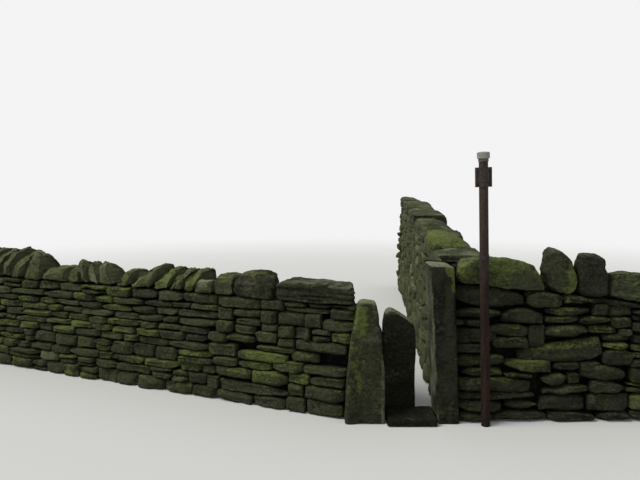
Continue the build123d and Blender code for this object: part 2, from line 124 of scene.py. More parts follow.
print("a small shell has", len(shell((8, 4, 4))[0]), "points and", len(shell((8, 4, 4))[1]), "faces")

# %% The smooth minimum of planes
def worn(directions, cuts, sharpness):
    """Points of a worn convex body, and the directions that its surface faces there. Each cut m is a plane
    m.p = 1, and a direction d is scaled by s = (sum of max(m.d, 0)^k)^(-1/k), with k the sharpness, which is
    the nearest plane where one is much nearer than the others, and rounds off where planes meet."""
    reach = np.maximum(np.einsum("...vk,...pk->...vp", directions, cuts), 0)
    power = reach ** (sharpness - 1)
    scale = (power * reach).sum(-1) ** (-1 / sharpness)
    facing = np.einsum("...vp,...pk->...vk", power, cuts)
    return directions * scale[..., None], facing


cube = np.concatenate([np.eye(3), -np.eye(3)])
print("a worn cube's corner stands at", round(float(worn(np.ones((1, 3)), cube, 50)[0][0, 0]), 3))

# %% The planes of a walling stone
SIDES = np.array([s for s in np.ndindex(3, 3, 3) if s != (1, 1, 1)]) - 1
TILT = 0.04               # the most that a side turns, as a share of its length
SEEN_TILT = (4, 0, 4)     # how many times more a seen side turns, along each axis


def knocked_cuts(rng, count, wear):
    """The planes of count stones in a cube from -1 to 1: six sides, twelve knocked edges and eight knocked
    corners. On an edge plane two coordinates add up to between 2 - wear and 2 for the four edges of the seen
    outline, and to between 2 - wear / 2 and 2 for the others. On a corner plane three add up to between
    3 - wear and 3. Each stone has its own wear. The two sides along the second axis are the seen ones and
    tilt the most, always into the cube."""
    kinds = np.abs(SIDES).sum(1)
    reach = np.ones((count, len(SIDES)))
    outline, rims = (kinds == 2) & (SIDES[:, 1] == 0), (kinds == 2) & (SIDES[:, 1] != 0)
    corners, seen = kinds == 3, (kinds == 1) & (SIDES[:, 1] != 0)
    wear = np.broadcast_to(wear, (count, 1))
    reach[:, outline] = 2 - wear * rng.beta(0.8, 2.0, (count, outline.sum()))
    reach[:, rims] = 2 - 0.5 * wear * rng.beta(1.2, 2.0, (count, rims.sum()))
    reach[:, corners] = 3 - wear * rng.beta(1.5, 1.5, (count, corners.sum()))
    tilt = rng.uniform(-TILT, TILT, (count, len(SIDES), 3))
    tilt[:, seen] = tilt[:, seen] * SEEN_TILT
    reach[:, seen] = 1 + np.abs(tilt[:, seen]).sum(-1)
    return (SIDES + tilt) / reach[..., None]


print("planes of a stone", knocked_cuts(np.random.default_rng(0), 1, 0.5).shape[1])

# %% [markdown]
# ## Pieces
# All the stones of one layer become one mesh, with four painted values at each point: tone differs from
# stone to stone, moss and pale say how much grows or is worn there, and shade is how deep in a joint it is,
# which the finish paints as a dark that is partly dirt and partly painted shade.
# The materials read them by name. A picture could carry them too, but every stone would need unwrapping.

# %% Turn arrays into pieces
def unit(vectors):
    """The same directions, each of length 1."""
    return vectors / np.linalg.norm(vectors, axis=-1, keepdims=True)


def put(name, data):
    """A new object that shows data, at the origin."""
    made = bpy.data.objects.new(name, data)
    bpy.context.scene.collection.objects.link(made)
    return made


PAINTED = ("tone", "moss", "pale", "shade")


def make_piece(name, node, points, faces, paint, material):
    """One mesh from an array of stones (stone, point, axis) that share their faces, shown in place of a
    plain node. paint gives each point's PAINTED values."""
    stones, count = points.shape[:2]
    corners = (faces[None] + count * np.arange(stones)[:, None, None]).reshape(-1)
    mesh = bpy.data.meshes.new(name)
    mesh.vertices.add(stones * count)
    mesh.vertices.foreach_set("co", points.astype(np.float32).reshape(-1))
    mesh.loops.add(len(corners))
    mesh.loops.foreach_set("vertex_index", corners.astype(np.int32))
    mesh.polygons.add(len(corners) // 4)
    mesh.polygons.foreach_set("loop_start", np.arange(0, len(corners), 4, dtype=np.int32))
    mesh.update(calc_edges=True)
    mesh.shade_smooth()
    for value in PAINTED:
        layer = mesh.attributes.new(value, "FLOAT", "POINT")
        spread = np.broadcast_to(paint[value], (stones, count))
        layer.data.foreach_set("value", spread.astype(np.float32).reshape(-1))
    piece = put(name, mesh)
    mesh.materials.append(material)
    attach(piece, "root")
    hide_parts(node)
    print(name, "stones", stones, "triangles", len(corners) // 2)


print("each point is painted with", PAINTED)

# %% [markdown]
# ## Finishes
# The stone is a brown gritstone under an olive film of algae, with yellow-green moss where rain stays, pale
# crusts of lichen, and black joints whose dark is partly dirt and partly painted shade. A shader is a graph,
# but it reads best as arithmetic, so one small class carries a socket and turns + - * into Math nodes.

# %% Colours and sockets
def colour(red, green, blue):
    """A colour as seen on a screen, 0 to 255, in the linear values that shaders use."""
    parts = [part / 255 for part in (red, green, blue)]
    return tuple([p / 12.92 if p <= 0.04045 else ((p + 0.055) / 1.055) ** 2.4 for p in parts] + [1.0])


class Wire:
    """A socket that carries a number, with the arithmetic that the finishes use."""

    def __init__(self, graph, socket):
        self.graph = graph
        self.socket = socket

    def __add__(self, other):
        return self.graph.maths("ADD", self, other)

    def __sub__(self, other):
        return self.graph.maths("SUBTRACT", self, other)

    def __rsub__(self, other):
        return self.graph.maths("SUBTRACT", other, self)

    def __mul__(self, other):
        return self.graph.maths("MULTIPLY", self, other)

    __radd__ = __add__
    __rmul__ = __mul__


print("middle grey as shaders use it", round(colour(128, 128, 128)[0], 3))

# %% The nodes of a material or a world
class Graph:
    """The nodes of a material or of the world, under construction."""

    def __init__(self, owner):
        owner.use_nodes = True
        self.tree = owner.node_tree
        self.tree.nodes.clear()

    def node(self, kind, settings=(), inputs=(), output=0):
        """A new node with its settings, then with values or links in its inputs. Gives one output."""
        made = self.tree.nodes.new(kind)
        for name, value in dict(settings).items():
            setattr(made, name, value)
        for name, value in dict(inputs).items():
            if isinstance(value, Wire):
                self.tree.links.new(value.socket, made.inputs[name])
            else:
                made.inputs[name].default_value = value
        return Wire(self, made.outputs[output])

    def maths(self, operation, first, second):
        return self.node("ShaderNodeMath", {"operation": operation}, {0: first, 1: second})

    def close(self, kind, shader):
        """Links a shader to a new output node."""
        self.tree.links.new(shader.socket, self.tree.nodes.new(kind).inputs["Surface"])


class Finish(Graph):
    """A material under construction."""

    def __init__(self, name):
        self.material = bpy.data.materials.new(name)
        super().__init__(self.material)
        self.spot = self.node("ShaderNodeTexCoord", output="Object")

    def height(self):
        return self.node("ShaderNodeSeparateXYZ", inputs={"Vector": self.spot}, output="Z")

    def stretched(self, stretch):
        return self.node("ShaderNodeVectorMath", {"operation": "MULTIPLY"}, {0: self.spot, 1: stretch})

    def painted(self, value):
        """One of the four values painted on the points."""
        return self.node("ShaderNodeAttribute", {"attribute_name": value}, output="Fac")

    def grain(self, scale, detail=4.0, stretch=(1, 1, 1)):
        """Noise from 0 to 1 with that many bumps to the metre, stretched along the axes."""
        values = {"Vector": self.stretched(stretch), "Scale": scale, "Detail": detail, "Roughness": 0.6}
        return self.node("ShaderNodeTexNoise", inputs=values)

    def cells(self, scale, feature="F1", stretch=(1, 1, 1)):
        """Distance in a pattern of cells: to a cell's middle, or to its edge."""
        values = {"Vector": self.stretched(stretch), "Scale": scale}
        return self.node("ShaderNodeTexVoronoi", {"feature": feature}, values)

    def step(self, value, low, high):
        """0 below low, 1 above high, smooth between."""
        inputs = {"Value": value, "From Min": low, "From Max": high}
        return self.node("ShaderNodeMapRange", {"interpolation_type": "SMOOTHSTEP"}, inputs)

    def blend(self, amount, below, above):
        """The colour below where amount is 0, and the colour above where it is 1."""
        return self.node("ShaderNodeMix", {"data_type": "RGBA"}, {0: amount, 6: below, 7: above}, 2)

    def finish(self, base, roughness, height, depth, specular):
        """Closes the material: height from 0 to 1 becomes bumps that deep."""
        bump = self.node("ShaderNodeBump", inputs={"Strength": 1.0, "Distance": depth, "Height": height})
        inputs = {"Base Color": base, "Roughness": roughness, "Normal": bump, "Specular IOR Level": specular}
        self.close("ShaderNodeOutputMaterial", self.node("ShaderNodeBsdfPrincipled", inputs=inputs))
        return self.material


print("materials can be built")

# %% [markdown]
# ### Gritstone
# The tone of a stone picks between three stone colours, broad noise mottles it, and fine noise gives the
# sandy grain. On top come the olive film, moss from the painted moss value with its edge broken up by noise,
# small round lichens from the cells of a Voronoi texture, and the dark of the joints: the deeper a point lies
# in a joint, by the shade value, the nearer it comes to the joint colour, which is partly dirt and partly
# painted shade.

# %% A finish for stone
FILM = colour(60, 67, 41)
MOSS_DEEP = colour(60, 68, 37)
MOSS_BRIGHT = colour(102, 113, 58)
LICHEN = colour(128, 129, 114)
JOINT = colour(20, 19, 14)


def stone_finish(name, dark, middle, pale, film, bedding):
    """Gritstone. film is how much of it is under algae, and bedding how strongly its thin beds show."""
    dark, middle, pale = colour(*dark), colour(*middle), colour(*pale)
    make = Finish(name)
    broad = make.grain(7.0, 4.0)
    mottle = make.grain(38.0, 6.0)
    sand = make.grain(420.0, 2.0)
    beds = make.grain(9.0, 5.0, (1.0, 1.0, 14.0))
    pits = make.cells(95.0)
    plates = make.cells(11.0, "DISTANCE_TO_EDGE", (1.0, 1.0, 2.6))
    cracks = make.step(plates + (mottle - 0.5) * 0.08, 0.035, 0.0) * make.step(broad, 0.42, 0.55)
    tone, moss, worn_pale, shade = [make.painted(value) for value in PAINTED]

    body = make.blend(make.step(tone * 0.5 + mottle * 0.8 + broad * 0.35, 0.5, 1.05), dark, middle)
    body = make.blend(make.step(worn_pale + mottle * 0.5 - 0.25, 0.2, 0.75), body, pale)
    body = make.blend(make.step(broad * 0.7 + tone * 0.3 + mottle * 0.3, 0.45, 0.95) * film, body, FILM)
    lichen = make.step(make.cells(30.0) + mottle * 0.7, 0.66, 0.44)
    lichen = lichen * make.step(broad + worn_pale * 0.4, 0.5, 0.8)
    specks = make.step(make.grain(85.0, 3.0), 0.56, 0.68) * make.step(mottle, 0.35, 0.6)
    body = make.blend(lichen * 0.4 + specks * (0.02 + 0.38 * film), body, LICHEN)
    growth = make.step(moss + (mottle - 0.5) * 0.9 + (broad - 0.5) * 0.5, 0.42, 0.8)
    fresh = make.step(mottle * 0.8 + sand * 0.3 + moss * 0.35, 0.5, 1.1)
    moss_colour = make.blend(fresh, MOSS_DEEP, MOSS_BRIGHT)
    body = make.blend(growth * 0.88, body, moss_colour)
    body = make.blend(make.step(sand, 0.35, 0.75) * 0.3, body, middle)
    body = make.blend(cracks * 0.55, body, JOINT)
    # Partly dirt and partly painted shade: the deeper a point lies behind the stone's seen side, the nearer
    # it comes to the joint colour.
    body = make.blend(make.step(shade + (mottle - 0.5) * 0.3, 0.05, 0.9) * 0.88, body, JOINT)
    height = mottle * 0.65 + sand * 0.1 + beds * bedding + growth * 0.12
    height = height - make.step(pits, 0.25, 0.0) * 0.12 - cracks * 0.3
    return make.finish(body, 0.93, height, 0.02, 0.1)


walling_stone = stone_finish("walling_gritstone", (32, 33, 25), (66, 67, 49), (104, 104, 84), 0.9, 0.35)
# A darker copy of the walling stone for stones that stand in shade: its extra darkness is painted shade.
painted_shade_stone = stone_finish("walling_gritstone_painted_shade", (25, 25, 20), (54, 54, 41), (96, 94, 76), 0.6, 0.35)
dry_stone = stone_finish("walling_gritstone_lichened", (34, 35, 26), (84, 89, 60), (124, 127, 98), 0.6, 0.35)
cope_stone = stone_finish("cope_gritstone", (36, 37, 28), (71, 75, 54), (118, 120, 98), 0.85, 0.18)
jamb_stone = stone_finish("jamb_gritstone", (32, 33, 25), (58, 60, 43), (122, 122, 98), 0.7, 0.0)
post_stone = stone_finish("dressed_gritstone", (13, 13, 10), (42, 42, 32), (124, 126, 102), 0.3, 0.0)
print("finishes", [m.name for m in bpy.data.materials])

# %% [markdown]
# ## The walls' own lines
# Each wall has a straight foot, a leaning seen face and a sloping top, and its stones are easiest to lay in
# distance along the foot, depth into the wall and height. Typing the angles again would let them drift from
# the plain model, so they are read from it: the seen face gives the direction, and the built head gives the
# thickness, the length and the slope of the top.

# %% Read a plain node's triangles
def triangles(node):
    """The corners of a plain node's triangles, as an array of triangle, corner, axis."""
    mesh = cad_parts[node].data
    places = np.empty(3 * len(mesh.vertices), np.float32)
    mesh.vertices.foreach_get("co", places)
    mesh.calc_loop_triangles()
    index = np.empty(3 * len(mesh.loop_triangles), np.int32)
    mesh.loop_triangles.foreach_get("vertices", index)
    return places.reshape(-1, 3).astype(float)[index.reshape(-1, 3)]


def crossed(corners):
    """The vector square to each triangle, twice as long as its area."""
    return np.cross(corners[:, 1] - corners[:, 0], corners[:, 2] - corners[:, 0])


print("triangles of the left wall's road face", len(triangles("left_wall_road_face")))

# %% Read a wall's line from its plain layers
LEVEL = 0.001             # places closer than this, in metres, are level with each other


class WallLine:
    """A wall in its own measures. Depth is measured from the foot of the seen face."""

    def __init__(self, prefix, seen, hidden):
        front, back = triangles(f"{prefix}_{seen}"), triangles(f"{prefix}_{hidden}")
        head = triangles(f"{prefix}_far_head").reshape(-1, 3)
        out = (front.mean((0, 1)) - back.mean((0, 1)))[:2]
        facing = crossed(front)
        square = facing[np.argmax(facing[:, :2] @ out)]
        self.into = -unit(square[:2])
        self.batter = square[2] / np.linalg.norm(square[:2])
        self.along = np.array([self.into[1], -self.into[0]])
        if (head.mean(0)[:2] - front.mean((0, 1))[:2]) @ self.along < 0:
            self.along = -self.along
        everything = np.concatenate([front.reshape(-1, 3), back.reshape(-1, 3), head])
        start = (everything[:, :2] @ self.along).min()
        foot = head[head[:, 2] < LEVEL][:, :2] @ self.into
        self.origin = start * self.along + foot.min() * self.into
        self.thickness = foot.max() - foot.min()
        distance = head[:, :2] @ self.along - start
        self.head_start, self.length = distance.min(), distance.max()
        near_top = head[distance < self.head_start + LEVEL, 2].max()
        far_top = head[distance > self.length - LEVEL, 2].max()
        self.rise = (far_top - near_top) / (self.length - self.head_start)
        self.top_at_stile = far_top - self.rise * self.length
        self.turned_over = self.along[0] * self.into[1] - self.along[1] * self.into[0] < 0

    def top(self, distance):
        return self.top_at_stile + self.rise * distance

    def place(self, points):
        """Points in distance, depth and height, in the frame of the plain model."""
        ground = self.origin + points[..., :1] * self.along + points[..., 1:2] * self.into
        return np.concatenate([ground, points[..., 2:]], axis=-1)

    def turn(self, directions):
        """Directions in distance, depth and height, in the frame of the plain model."""
        ground = directions[..., :1] * self.along + directions[..., 1:2] * self.into
        return np.concatenate([ground, directions[..., 2:]], axis=-1)


left_line = WallLine("left_wall", "road_face", "field_face")
right_line = WallLine("right_wall", "road_face", "field_face")
field_line = WallLine("field_wall", "path_face", "far_face")
for title, line in (("left", left_line), ("right", right_line), ("field", field_line)):
    measures = (line.length, line.thickness, line.top_at_stile, line.rise, line.batter)
    print(title, "length, thickness, top at the stile, rise, batter", [round(float(m), 3) for m in measures])

# %% [markdown]
# ## Laying stones
# A stone in a layer is a row of numbers: its two ends, the lines it lies between at each end, how mossy and
# how light it is, and how its two joints slant. The stones near the stile are listed one by one to follow the
# real wall, in millimetres. The rest is laid in courses as a waller does: tall courses low down, thin ones
# near the top, joints kept clear of those below, and now and then a stone split in two beds.

# %% Stones listed one by one beside the stile
# from, to, bottom, top, how much its top rises along it, moss, tone
LEFT_LAID = [
    (10, 212, 836, 863, 0, 0.2, 0.5), (12, 210, 748, 832, 4, 0.1, 0.45), (216, 410, 824, 863, 0, 0.1, 0.7),
    (216, 596, 784, 820, 4, 0.0, 0.62), (414, 594, 822, 863, 0, 0.2, 0.45),
    (602, 800, 780, 862, 0, 0.1, 0.4), (806, 1204, 768, 862, 0, 0.25, 0.6),
    (20, 284, 656, 742, 0, 0.1, 0.5), (290, 416, 670, 778, -6, 0.1, 0.42),
    (422, 656, 668, 776, 6, 0.0, 0.36), (662, 800, 670, 774, 0, 0.15, 0.3),
    (806, 1058, 700, 764, 6, 0.3, 0.48), (1064, 1206, 668, 764, 0, 0.3, 0.4),
    (812, 1032, 640, 696, -4, 0.2, 0.5), (44, 212, 574, 652, 0, 0.95, 0.7),
    (218, 372, 614, 666, 0, 0.2, 0.6), (218, 366, 570, 610, 0, 0.3, 0.45),
    (378, 508, 568, 664, 6, 0.1, 0.35), (514, 650, 570, 662, 0, 0.15, 0.5),
    (656, 806, 604, 664, 0, 0.3, 0.55), (656, 848, 512, 600, -8, 0.45, 0.6),
    (854, 1052, 564, 636, 0, 0.3, 0.5), (1058, 1210, 566, 662, 0, 0.25, 0.36),
    (70, 505, 478, 566, 6, 0.2, 0.42), (512, 650, 498, 564, 0, 0.2, 0.5),
    (510, 850, 450, 492, -4, 0.4, 0.6), (856, 1110, 498, 558, 4, 0.35, 0.55),
    (1116, 1290, 478, 560, 0, 0.4, 0.5), (306, 546, 392, 472, 0, 0.5, 0.6),
    (552, 1012, 362, 442, -10, 0.85, 0.66), (1018, 1290, 372, 470, 0, 0.45, 0.5),
    (82, 426, 308, 382, 0, 0.35, 0.5), (432, 700, 304, 386, -4, 0.6, 0.6),
    (706, 1002, 290, 354, 0, 0.6, 0.62), (1008, 1242, 284, 364, 0, 0.4, 0.5),
    (90, 372, 226, 302, 0, 0.3, 0.55), (378, 560, 222, 298, 0, 0.8, 0.62),
    (566, 882, 178, 284, -8, 0.85, 0.66), (888, 1212, 198, 278, 0, 0.4, 0.5),
    (90, 420, 118, 220, 0, 0.2, 0.4), (426, 560, 118, 216, 0, 0.4, 0.5),
    (566, 1180, 92, 172, 10, 0.3, 0.45), (94, 400, 0, 112, 0, 0.2, 0.4), (406, 560, 0, 112, 0, 0.2, 0.5),
    (566, 860, 0, 86, 0, 0.2, 0.4), (866, 1200, 0, 88, 0, 0.2, 0.5), (1186, 1290, 92, 192, 0, 0.2, 0.5),
]
RIGHT_LAID = [
    (5, 540, 862, 1039, 0, 0.1, 0.55), (552, 822, 858, 972, -26, 0.0, 0.72),
    (830, 972, 884, 952, -10, 0.0, 0.85), (978, 1090, 888, 934, -6, 0.3, 0.4),
    (1096, 1330, 878, 918, -14, 0.35, 0.45), (5, 362, 770, 852, 0, 0.35, 0.5),
    (370, 676, 740, 848, -10, 0.3, 0.55), (684, 1036, 798, 852, -2, 0.35, 0.5),
    (1042, 1140, 796, 882, 0, 0.3, 0.4), (1146, 1330, 790, 872, 0, 0.35, 0.5),
    (6, 82, 724, 764, 0, 0.0, 0.8), (90, 272, 708, 764, 0, 0.1, 0.72), (280, 560, 642, 732, 0, 0.35, 0.56),
    (690, 940, 726, 792, 6, 0.3, 0.5), (946, 1168, 726, 790, 8, 0.4, 0.55),
    (1174, 1330, 702, 784, 0, 0.35, 0.5), (5, 332, 592, 700, 0, 0.15, 0.35),
    (566, 684, 566, 728, 0, 0.15, 0.5), (692, 1002, 640, 718, 16, 0.35, 0.55),
    (1010, 1232, 660, 718, -4, 0.45, 0.5), (1238, 1330, 640, 694, 0, 0.4, 0.5),
    (5, 290, 508, 586, 0, 0.1, 0.4), (298, 558, 546, 636, 10, 0.3, 0.6),
    (500, 1116, 455, 600, 95, 0.45, 0.62), (1124, 1330, 598, 654, 0, 0.3, 0.5),
    (1124, 1300, 546, 592, 0, 0.8, 0.6), (34, 386, 412, 500, 0, 0.35, 0.6),
    (394, 742, 364, 464, 0, 0.95, 0.7), (756, 944, 378, 448, 0, 0.15, 0.4),
    (952, 1110, 372, 448, 8, 0.3, 0.45), (1118, 1330, 426, 538, 0, 0.15, 0.42),
    (60, 384, 336, 404, 0, 0.4, 0.55), (392, 596, 336, 360, 0, 0.4, 0.5),
    (664, 850, 284, 358, 0, 0.6, 0.55), (858, 944, 292, 370, 0, 0.1, 0.4),
    (952, 1290, 322, 424, -30, 0.55, 0.5), (52, 598, 230, 330, 0, 0.45, 0.56),
    (46, 618, 162, 224, 0, 0.3, 0.5), (676, 1018, 206, 278, 10, 0.1, 0.72),
    (1026, 1296, 222, 314, 0, 0.35, 0.5), (52, 380, 84, 156, 0, 0.2, 0.45),
    (388, 640, 84, 156, 0, 0.2, 0.5), (648, 1010, 84, 198, 0, 0.2, 0.42),
    (1018, 1330, 84, 214, 0, 0.3, 0.5), (50, 300, 0, 78, 0, 0.2, 0.4), (308, 700, 0, 78, 0, 0.2, 0.5),
    (708, 1080, 0, 78, 0, 0.2, 0.4), (1088, 1330, 0, 78, 0, 0.2, 0.5),
]
MILLIMETRE = 0.001
JOINT_HALF = 0.0025       # half the joint between two stones
LAID_TILT = 0.004         # how far an end of a stone's bed may stray up or down
LAID_SLANT = 0.008        # how far the upper end of a joint may stand to one side of its lower end


def laid_stones(rng, line, laid):
    """The stones listed one by one, in metres, none higher than the wall's top."""
    stones = []
    for start, end, low, high, slant, moss, tone in laid:
        start, end, low, high, slant = [MILLIMETRE * v for v in (start, end, low, high, slant)]
        high_near = min(high - slant / 2, line.top(start) - JOINT_HALF)
        high_far = min(high + slant / 2, line.top(end) - JOINT_HALF)
        tilt = rng.uniform(-LAID_TILT, LAID_TILT)
        low_near, low_far = max(low + tilt, 0), max(low - tilt, 0)
        slants = rng.uniform(-LAID_SLANT, LAID_SLANT, 2)
        stones.append((start, end, low_near, low_far, high_near, high_far, moss, tone, *slants))
    return stones


print("laid by hand", len(LEFT_LAID), "left and", len(RIGHT_LAID), "right")

# %% The heights of the courses
COURSE_VARIES = (0.72, 1.28)   # a course's height, as a multiple of what its rule gives


def course_shares(rng, height, foot_course, top_course):
    """Course lines as shares of the wall's height, from foot courses to top courses of those heights."""
    rows = []
    while sum(rows) < height:
        share = sum(rows) / height
        rows.append((foot_course + (top_course - foot_course) * share) * rng.uniform(*COURSE_VARIES))
    return np.concatenate([[0], np.cumsum(rows)]) / sum(rows)


print("courses", len(course_shares(np.random.default_rng(3), left_line.top(0), 0.11, 0.07)) - 1)

# %% A place in a course, as one stone or two
MOSSY = (1.3, 2.4)        # how moss is shared out over stones: the two powers of a beta curve
TONES = (0.2, 0.8)        # how dark and how light the stones are, from 0 to 1
SPLIT_FROM = 0.075        # a stone higher than this may be split into two beds
SPLIT_CHANCE = 0.3
SPLIT_AT = (0.38, 0.62)   # where it splits, as a share of its height


def filled(rng, span, lows, highs, slants):
    """One stone between two lines, or two stones where there is the height and chance has it."""
    moss, tone = rng.beta(*MOSSY), rng.uniform(*TONES)
    if highs[0] - lows[0] <= SPLIT_FROM or rng.random() >= SPLIT_CHANCE:
        return [(*span, *lows, *highs, moss, tone, *slants)]
    share = rng.uniform(*SPLIT_AT)
    middles = [low + share * (high - low) for low, high in zip(lows, highs)]
    lower = [m - JOINT_HALF for m in middles]
    upper = [m + JOINT_HALF for m in middles]
    return [(*span, *lows, *lower, moss, tone, *slants),
            (*span, *upper, *highs, rng.beta(*MOSSY), rng.uniform(*TONES), *slants)]


print("stones in one place", len(filled(np.random.default_rng(1), (0, 0.3), (0, 0), (0.1, 0.1), (0, 0))))

# %% Stones laid in courses
WANDER = 0.011            # the most that a course line strays up or down
WANDER_SIZE = (0.55, 1.0, 1.0)
LENGTHS = (1.6, 2.6)      # how lengths are shared out from the shortest to the longest, as a beta curve
CLEAR = 0.035             # a joint this close to one below is moved on by half as much again
JOINT_SLANT = 0.009       # how far the upper end of a joint usually stands to one side of its lower end
SLIVER = 0.02             # a course stops where less than this is left


def course_stones(rng, line, start_at, end, shares, shortest, longest):
    """Stones in courses from start_at, a function of the course's lowest and highest point, to end. The
    lines between courses wander, and joints are moved clear of the joints in the course below."""
    def height(number, distance):
        drift = float(noise(np.array([[distance, 1.7 * number, 0.0]]), WANDER_SIZE, 5)[0])
        wander = WANDER * drift * (0 < number < len(shares) - 1)
        return shares[number] * line.top(distance) + wander

    stones, below = [], []
    for number in range(len(shares) - 1):
        at = start_at(shares[number] * line.top(0), shares[number + 1] * line.top(0))
        slant = 0.0
        joints = []
        while at < end - SLIVER:
            length = shortest + (longest - shortest) * rng.beta(*LENGTHS)
            stop = at + length
            if any(abs(stop - joint) < CLEAR for joint in below):
                stop = stop + 1.5 * CLEAR
            if end - stop < shortest:
                stop = end
            span = (at + JOINT_HALF, stop - JOINT_HALF)
            lows = [height(number, s) + JOINT_HALF * (number > 0) for s in span]
            highs = [height(number + 1, s) - JOINT_HALF for s in span]
            next_slant = 0.0 if stop == end else rng.normal(0, JOINT_SLANT)
            stones += filled(rng, span, lows, highs, (slant, next_slant))
            joints.append(stop)
            at, slant = stop, next_slant
        below = joints
    return stones


def end_of(stones, edge):
    """Where a course starts beside the stones listed one by one, or beside edge, a function of height."""
    def start_at(low, high):
        ends = [s[1] for s in stones if min(s[4], high) - max(s[2], low) > 0.3 * min(high - low, s[4] - s[2])]
        return max(ends + [edge((low + high) / 2)])
    return start_at


print("a course beside a straight edge starts at", end_of([], lambda height: 0.05)(0.9, 1.0))

# %% [markdown]
# ## From stones to points
# Every stone of a layer is bent into its place by one formula for all of them: across its length and height
# its points are blended between its four corners, and its depths lean with the wall's face. Then noise moves
# the points in and out along the direction that the surface faces, and the painted values are worked out.

# %% What a layer is
class Layer:
    """How a layer sits in its wall: its depths at the foot, which sides of it are seen, how far its stones
    may stand back from them, and how mossy they are for walling."""

    def __init__(self, line, near, far, seen, set_back=0.0, mossy=1.0, material=walling_stone):
        self.line = line
        self.near = near
        self.far = far
        self.seen = seen
        self.set_back = set_back
        self.mossy = mossy
        self.material = material

    def lean(self, depth):
        """How much of the batter a depth follows: 1 at the seen face, -1 at the other, evenly between."""
        if self.seen == "near":
            return 1.0
        if self.seen == "far":
            return -1.0
        return 1 - 2 * depth / self.line.thickness

    def behind(self, local):
        """How far points are behind the nearest side that is seen."""
        near_face = local[..., 1] - self.near
        far_face = self.far - local[..., 1]
        if self.seen == "both":
            return np.minimum(np.minimum(near_face, far_face), self.line.length - local[..., 0])
        return near_face if self.seen == "near" else far_face


head = Layer(left_line, 0, left_line.thickness, "both")
print("the middle of a head leans by", round(float(head.lean(left_line.thickness / 2)), 3), "of the batter")

# %% Bend and roughen stones
def bend(layer, stones, depths, shape, rng):
    """Shapes in a cube from -1 to 1, laid between their stones' ends, lines and depths, in the wall's own
    measures. Each seen side stands back by up to set_back. Also gives the stones' sizes along the axes."""
    across, into, up = [(shape[..., axis] + 1) / 2 for axis in range(3)]
    start, end, low_near, low_far, high_near, high_far, _, _, slant, next_slant = stones.T[..., None]
    slanted = (up - 0.5) * (slant + across * (next_slant - slant))
    distance = start + across * (end - start) + slanted
    low = low_near + across * (low_far - low_near)
    high = high_near + across * (high_far - high_near)
    height = low + up * (high - low)
    width = layer.far - layer.near
    first, second = [layer.near + width * d for d in depths.T[..., None]]
    if layer.seen == "near":
        first = first + rng.uniform(0, layer.set_back, first.shape)
    elif layer.seen == "far":
        second = second - rng.uniform(0, layer.set_back, second.shape)
    depth = first + into * (second - first)
    sizes = np.stack([end - start, second - first, high_near - low_near], axis=-1)
    return np.stack([distance, depth, height], axis=-1), sizes


LUMP_SIZE = 0.09
BED_SIZE = (0.3, 0.3, 0.022)


def roughen(local, facing, relief, rng):
    """Points moved along facing by relief times lumps and thin beds, most where a side is seen, and never
    below the ground. Each stone reads the noise at a place of its own."""
    offset = rng.uniform(-50, 50, (len(local), 1, 3))
    lumps = rough(local + offset, LUMP_SIZE, 3, 1) + 0.4 * noise(local + offset, BED_SIZE, 9)
    push = relief * (lumps - 0.6)
    seen_side = 0.3 + 0.7 * np.abs(facing[..., 1:2])
    local = local + facing * push[..., None] * seen_side
    local[..., 2] = np.maximum(local[..., 2], 0)
    return local


def moss_at(points, facing, given):
    """How mossy a point is: what the stone was given, more where it faces up and in damp patches."""
    up = np.clip(facing[..., 2], 0, 1)
    patches = 0.28 * noise(points, 0.13, 31) + 0.16 * noise(points, 0.045, 32)
    return np.clip(0.1 + 0.62 * given + 0.22 * up + patches, 0, 1.3)


print("moss on a stone that was given none", moss_at(np.zeros((1, 3)), np.array([[0, 0, 1]]), 0).round(2))

# %% A layer of stones as a piece
WALL_SHARPNESS = 50
# The dark painted into a joint by its depth is partly dirt and partly painted shade.
JOINT_DARK = (0.012, 0.07)     # how deep a joint's dark begins and is full, behind the stones' sides


def wall_piece(name, node, layer, stones, depths, counts, rng, wear, relief):
    """The stones of one layer as a piece that replaces its plain node. stones has a row for each stone, as
    laid above, and depths its two depths as shares of the layer. Long low stones are worn the most."""
    line = layer.line
    stones, depths = np.array(stones), np.array(depths)
    slender = (stones[:, 1] - stones[:, 0]) / (stones[:, 4] - stones[:, 2])
    wear = wear * np.clip(0.35 * slender - 0.1, 0.3, 1.0)[:, None]
    template, faces = shell(counts)
    shape, facing = worn(template, knocked_cuts(rng, len(stones), wear), WALL_SHARPNESS)
    local, sizes = bend(layer, stones, depths, shape, rng)
    facing = unit(facing / sizes)
    local = roughen(local, facing, relief, rng)
    behind = layer.behind(local)
    local[..., 1] += layer.lean(local[..., 1]) * line.batter * local[..., 2]
    points = line.place(local)

    given, tone = stones[:, 6, None], stones[:, 7, None]
    paint = {
        "tone": tone,
        "moss": moss_at(points, line.turn(facing), given) * layer.mossy,
        "pale": np.clip(0.35 * noise(points, 0.12, 41) + 0.9 * smooth_step(tone, 0.64, 0.9), 0, 1),
        # how deep in a joint a point lies, which the finish paints as partly dirt and partly painted shade
        "shade": smooth_step(behind, *[layer.set_back + depth for depth in JOINT_DARK]),
    }
    if line.turned_over:
        faces = faces[:, ::-1]
    make_piece(name, node, points, faces, paint, layer.material)


print("layers are ready to lay")

# %% [markdown]
# ## The faces of the walls
# The left and right walls start with the stones listed one by one and run on in courses. Every stone could
# be laid by hand, but the eye compares only those near the stile one by one. The left wall starts where the
# leaning edge of the jamb lets it, which is read from the jamb's plain stone.

# %% The left wall
LEAF = 0.15               # thickness of a face, as in the plain model
BARE_ABOVE = 0.77         # above this the wall's back corner at the stile is open


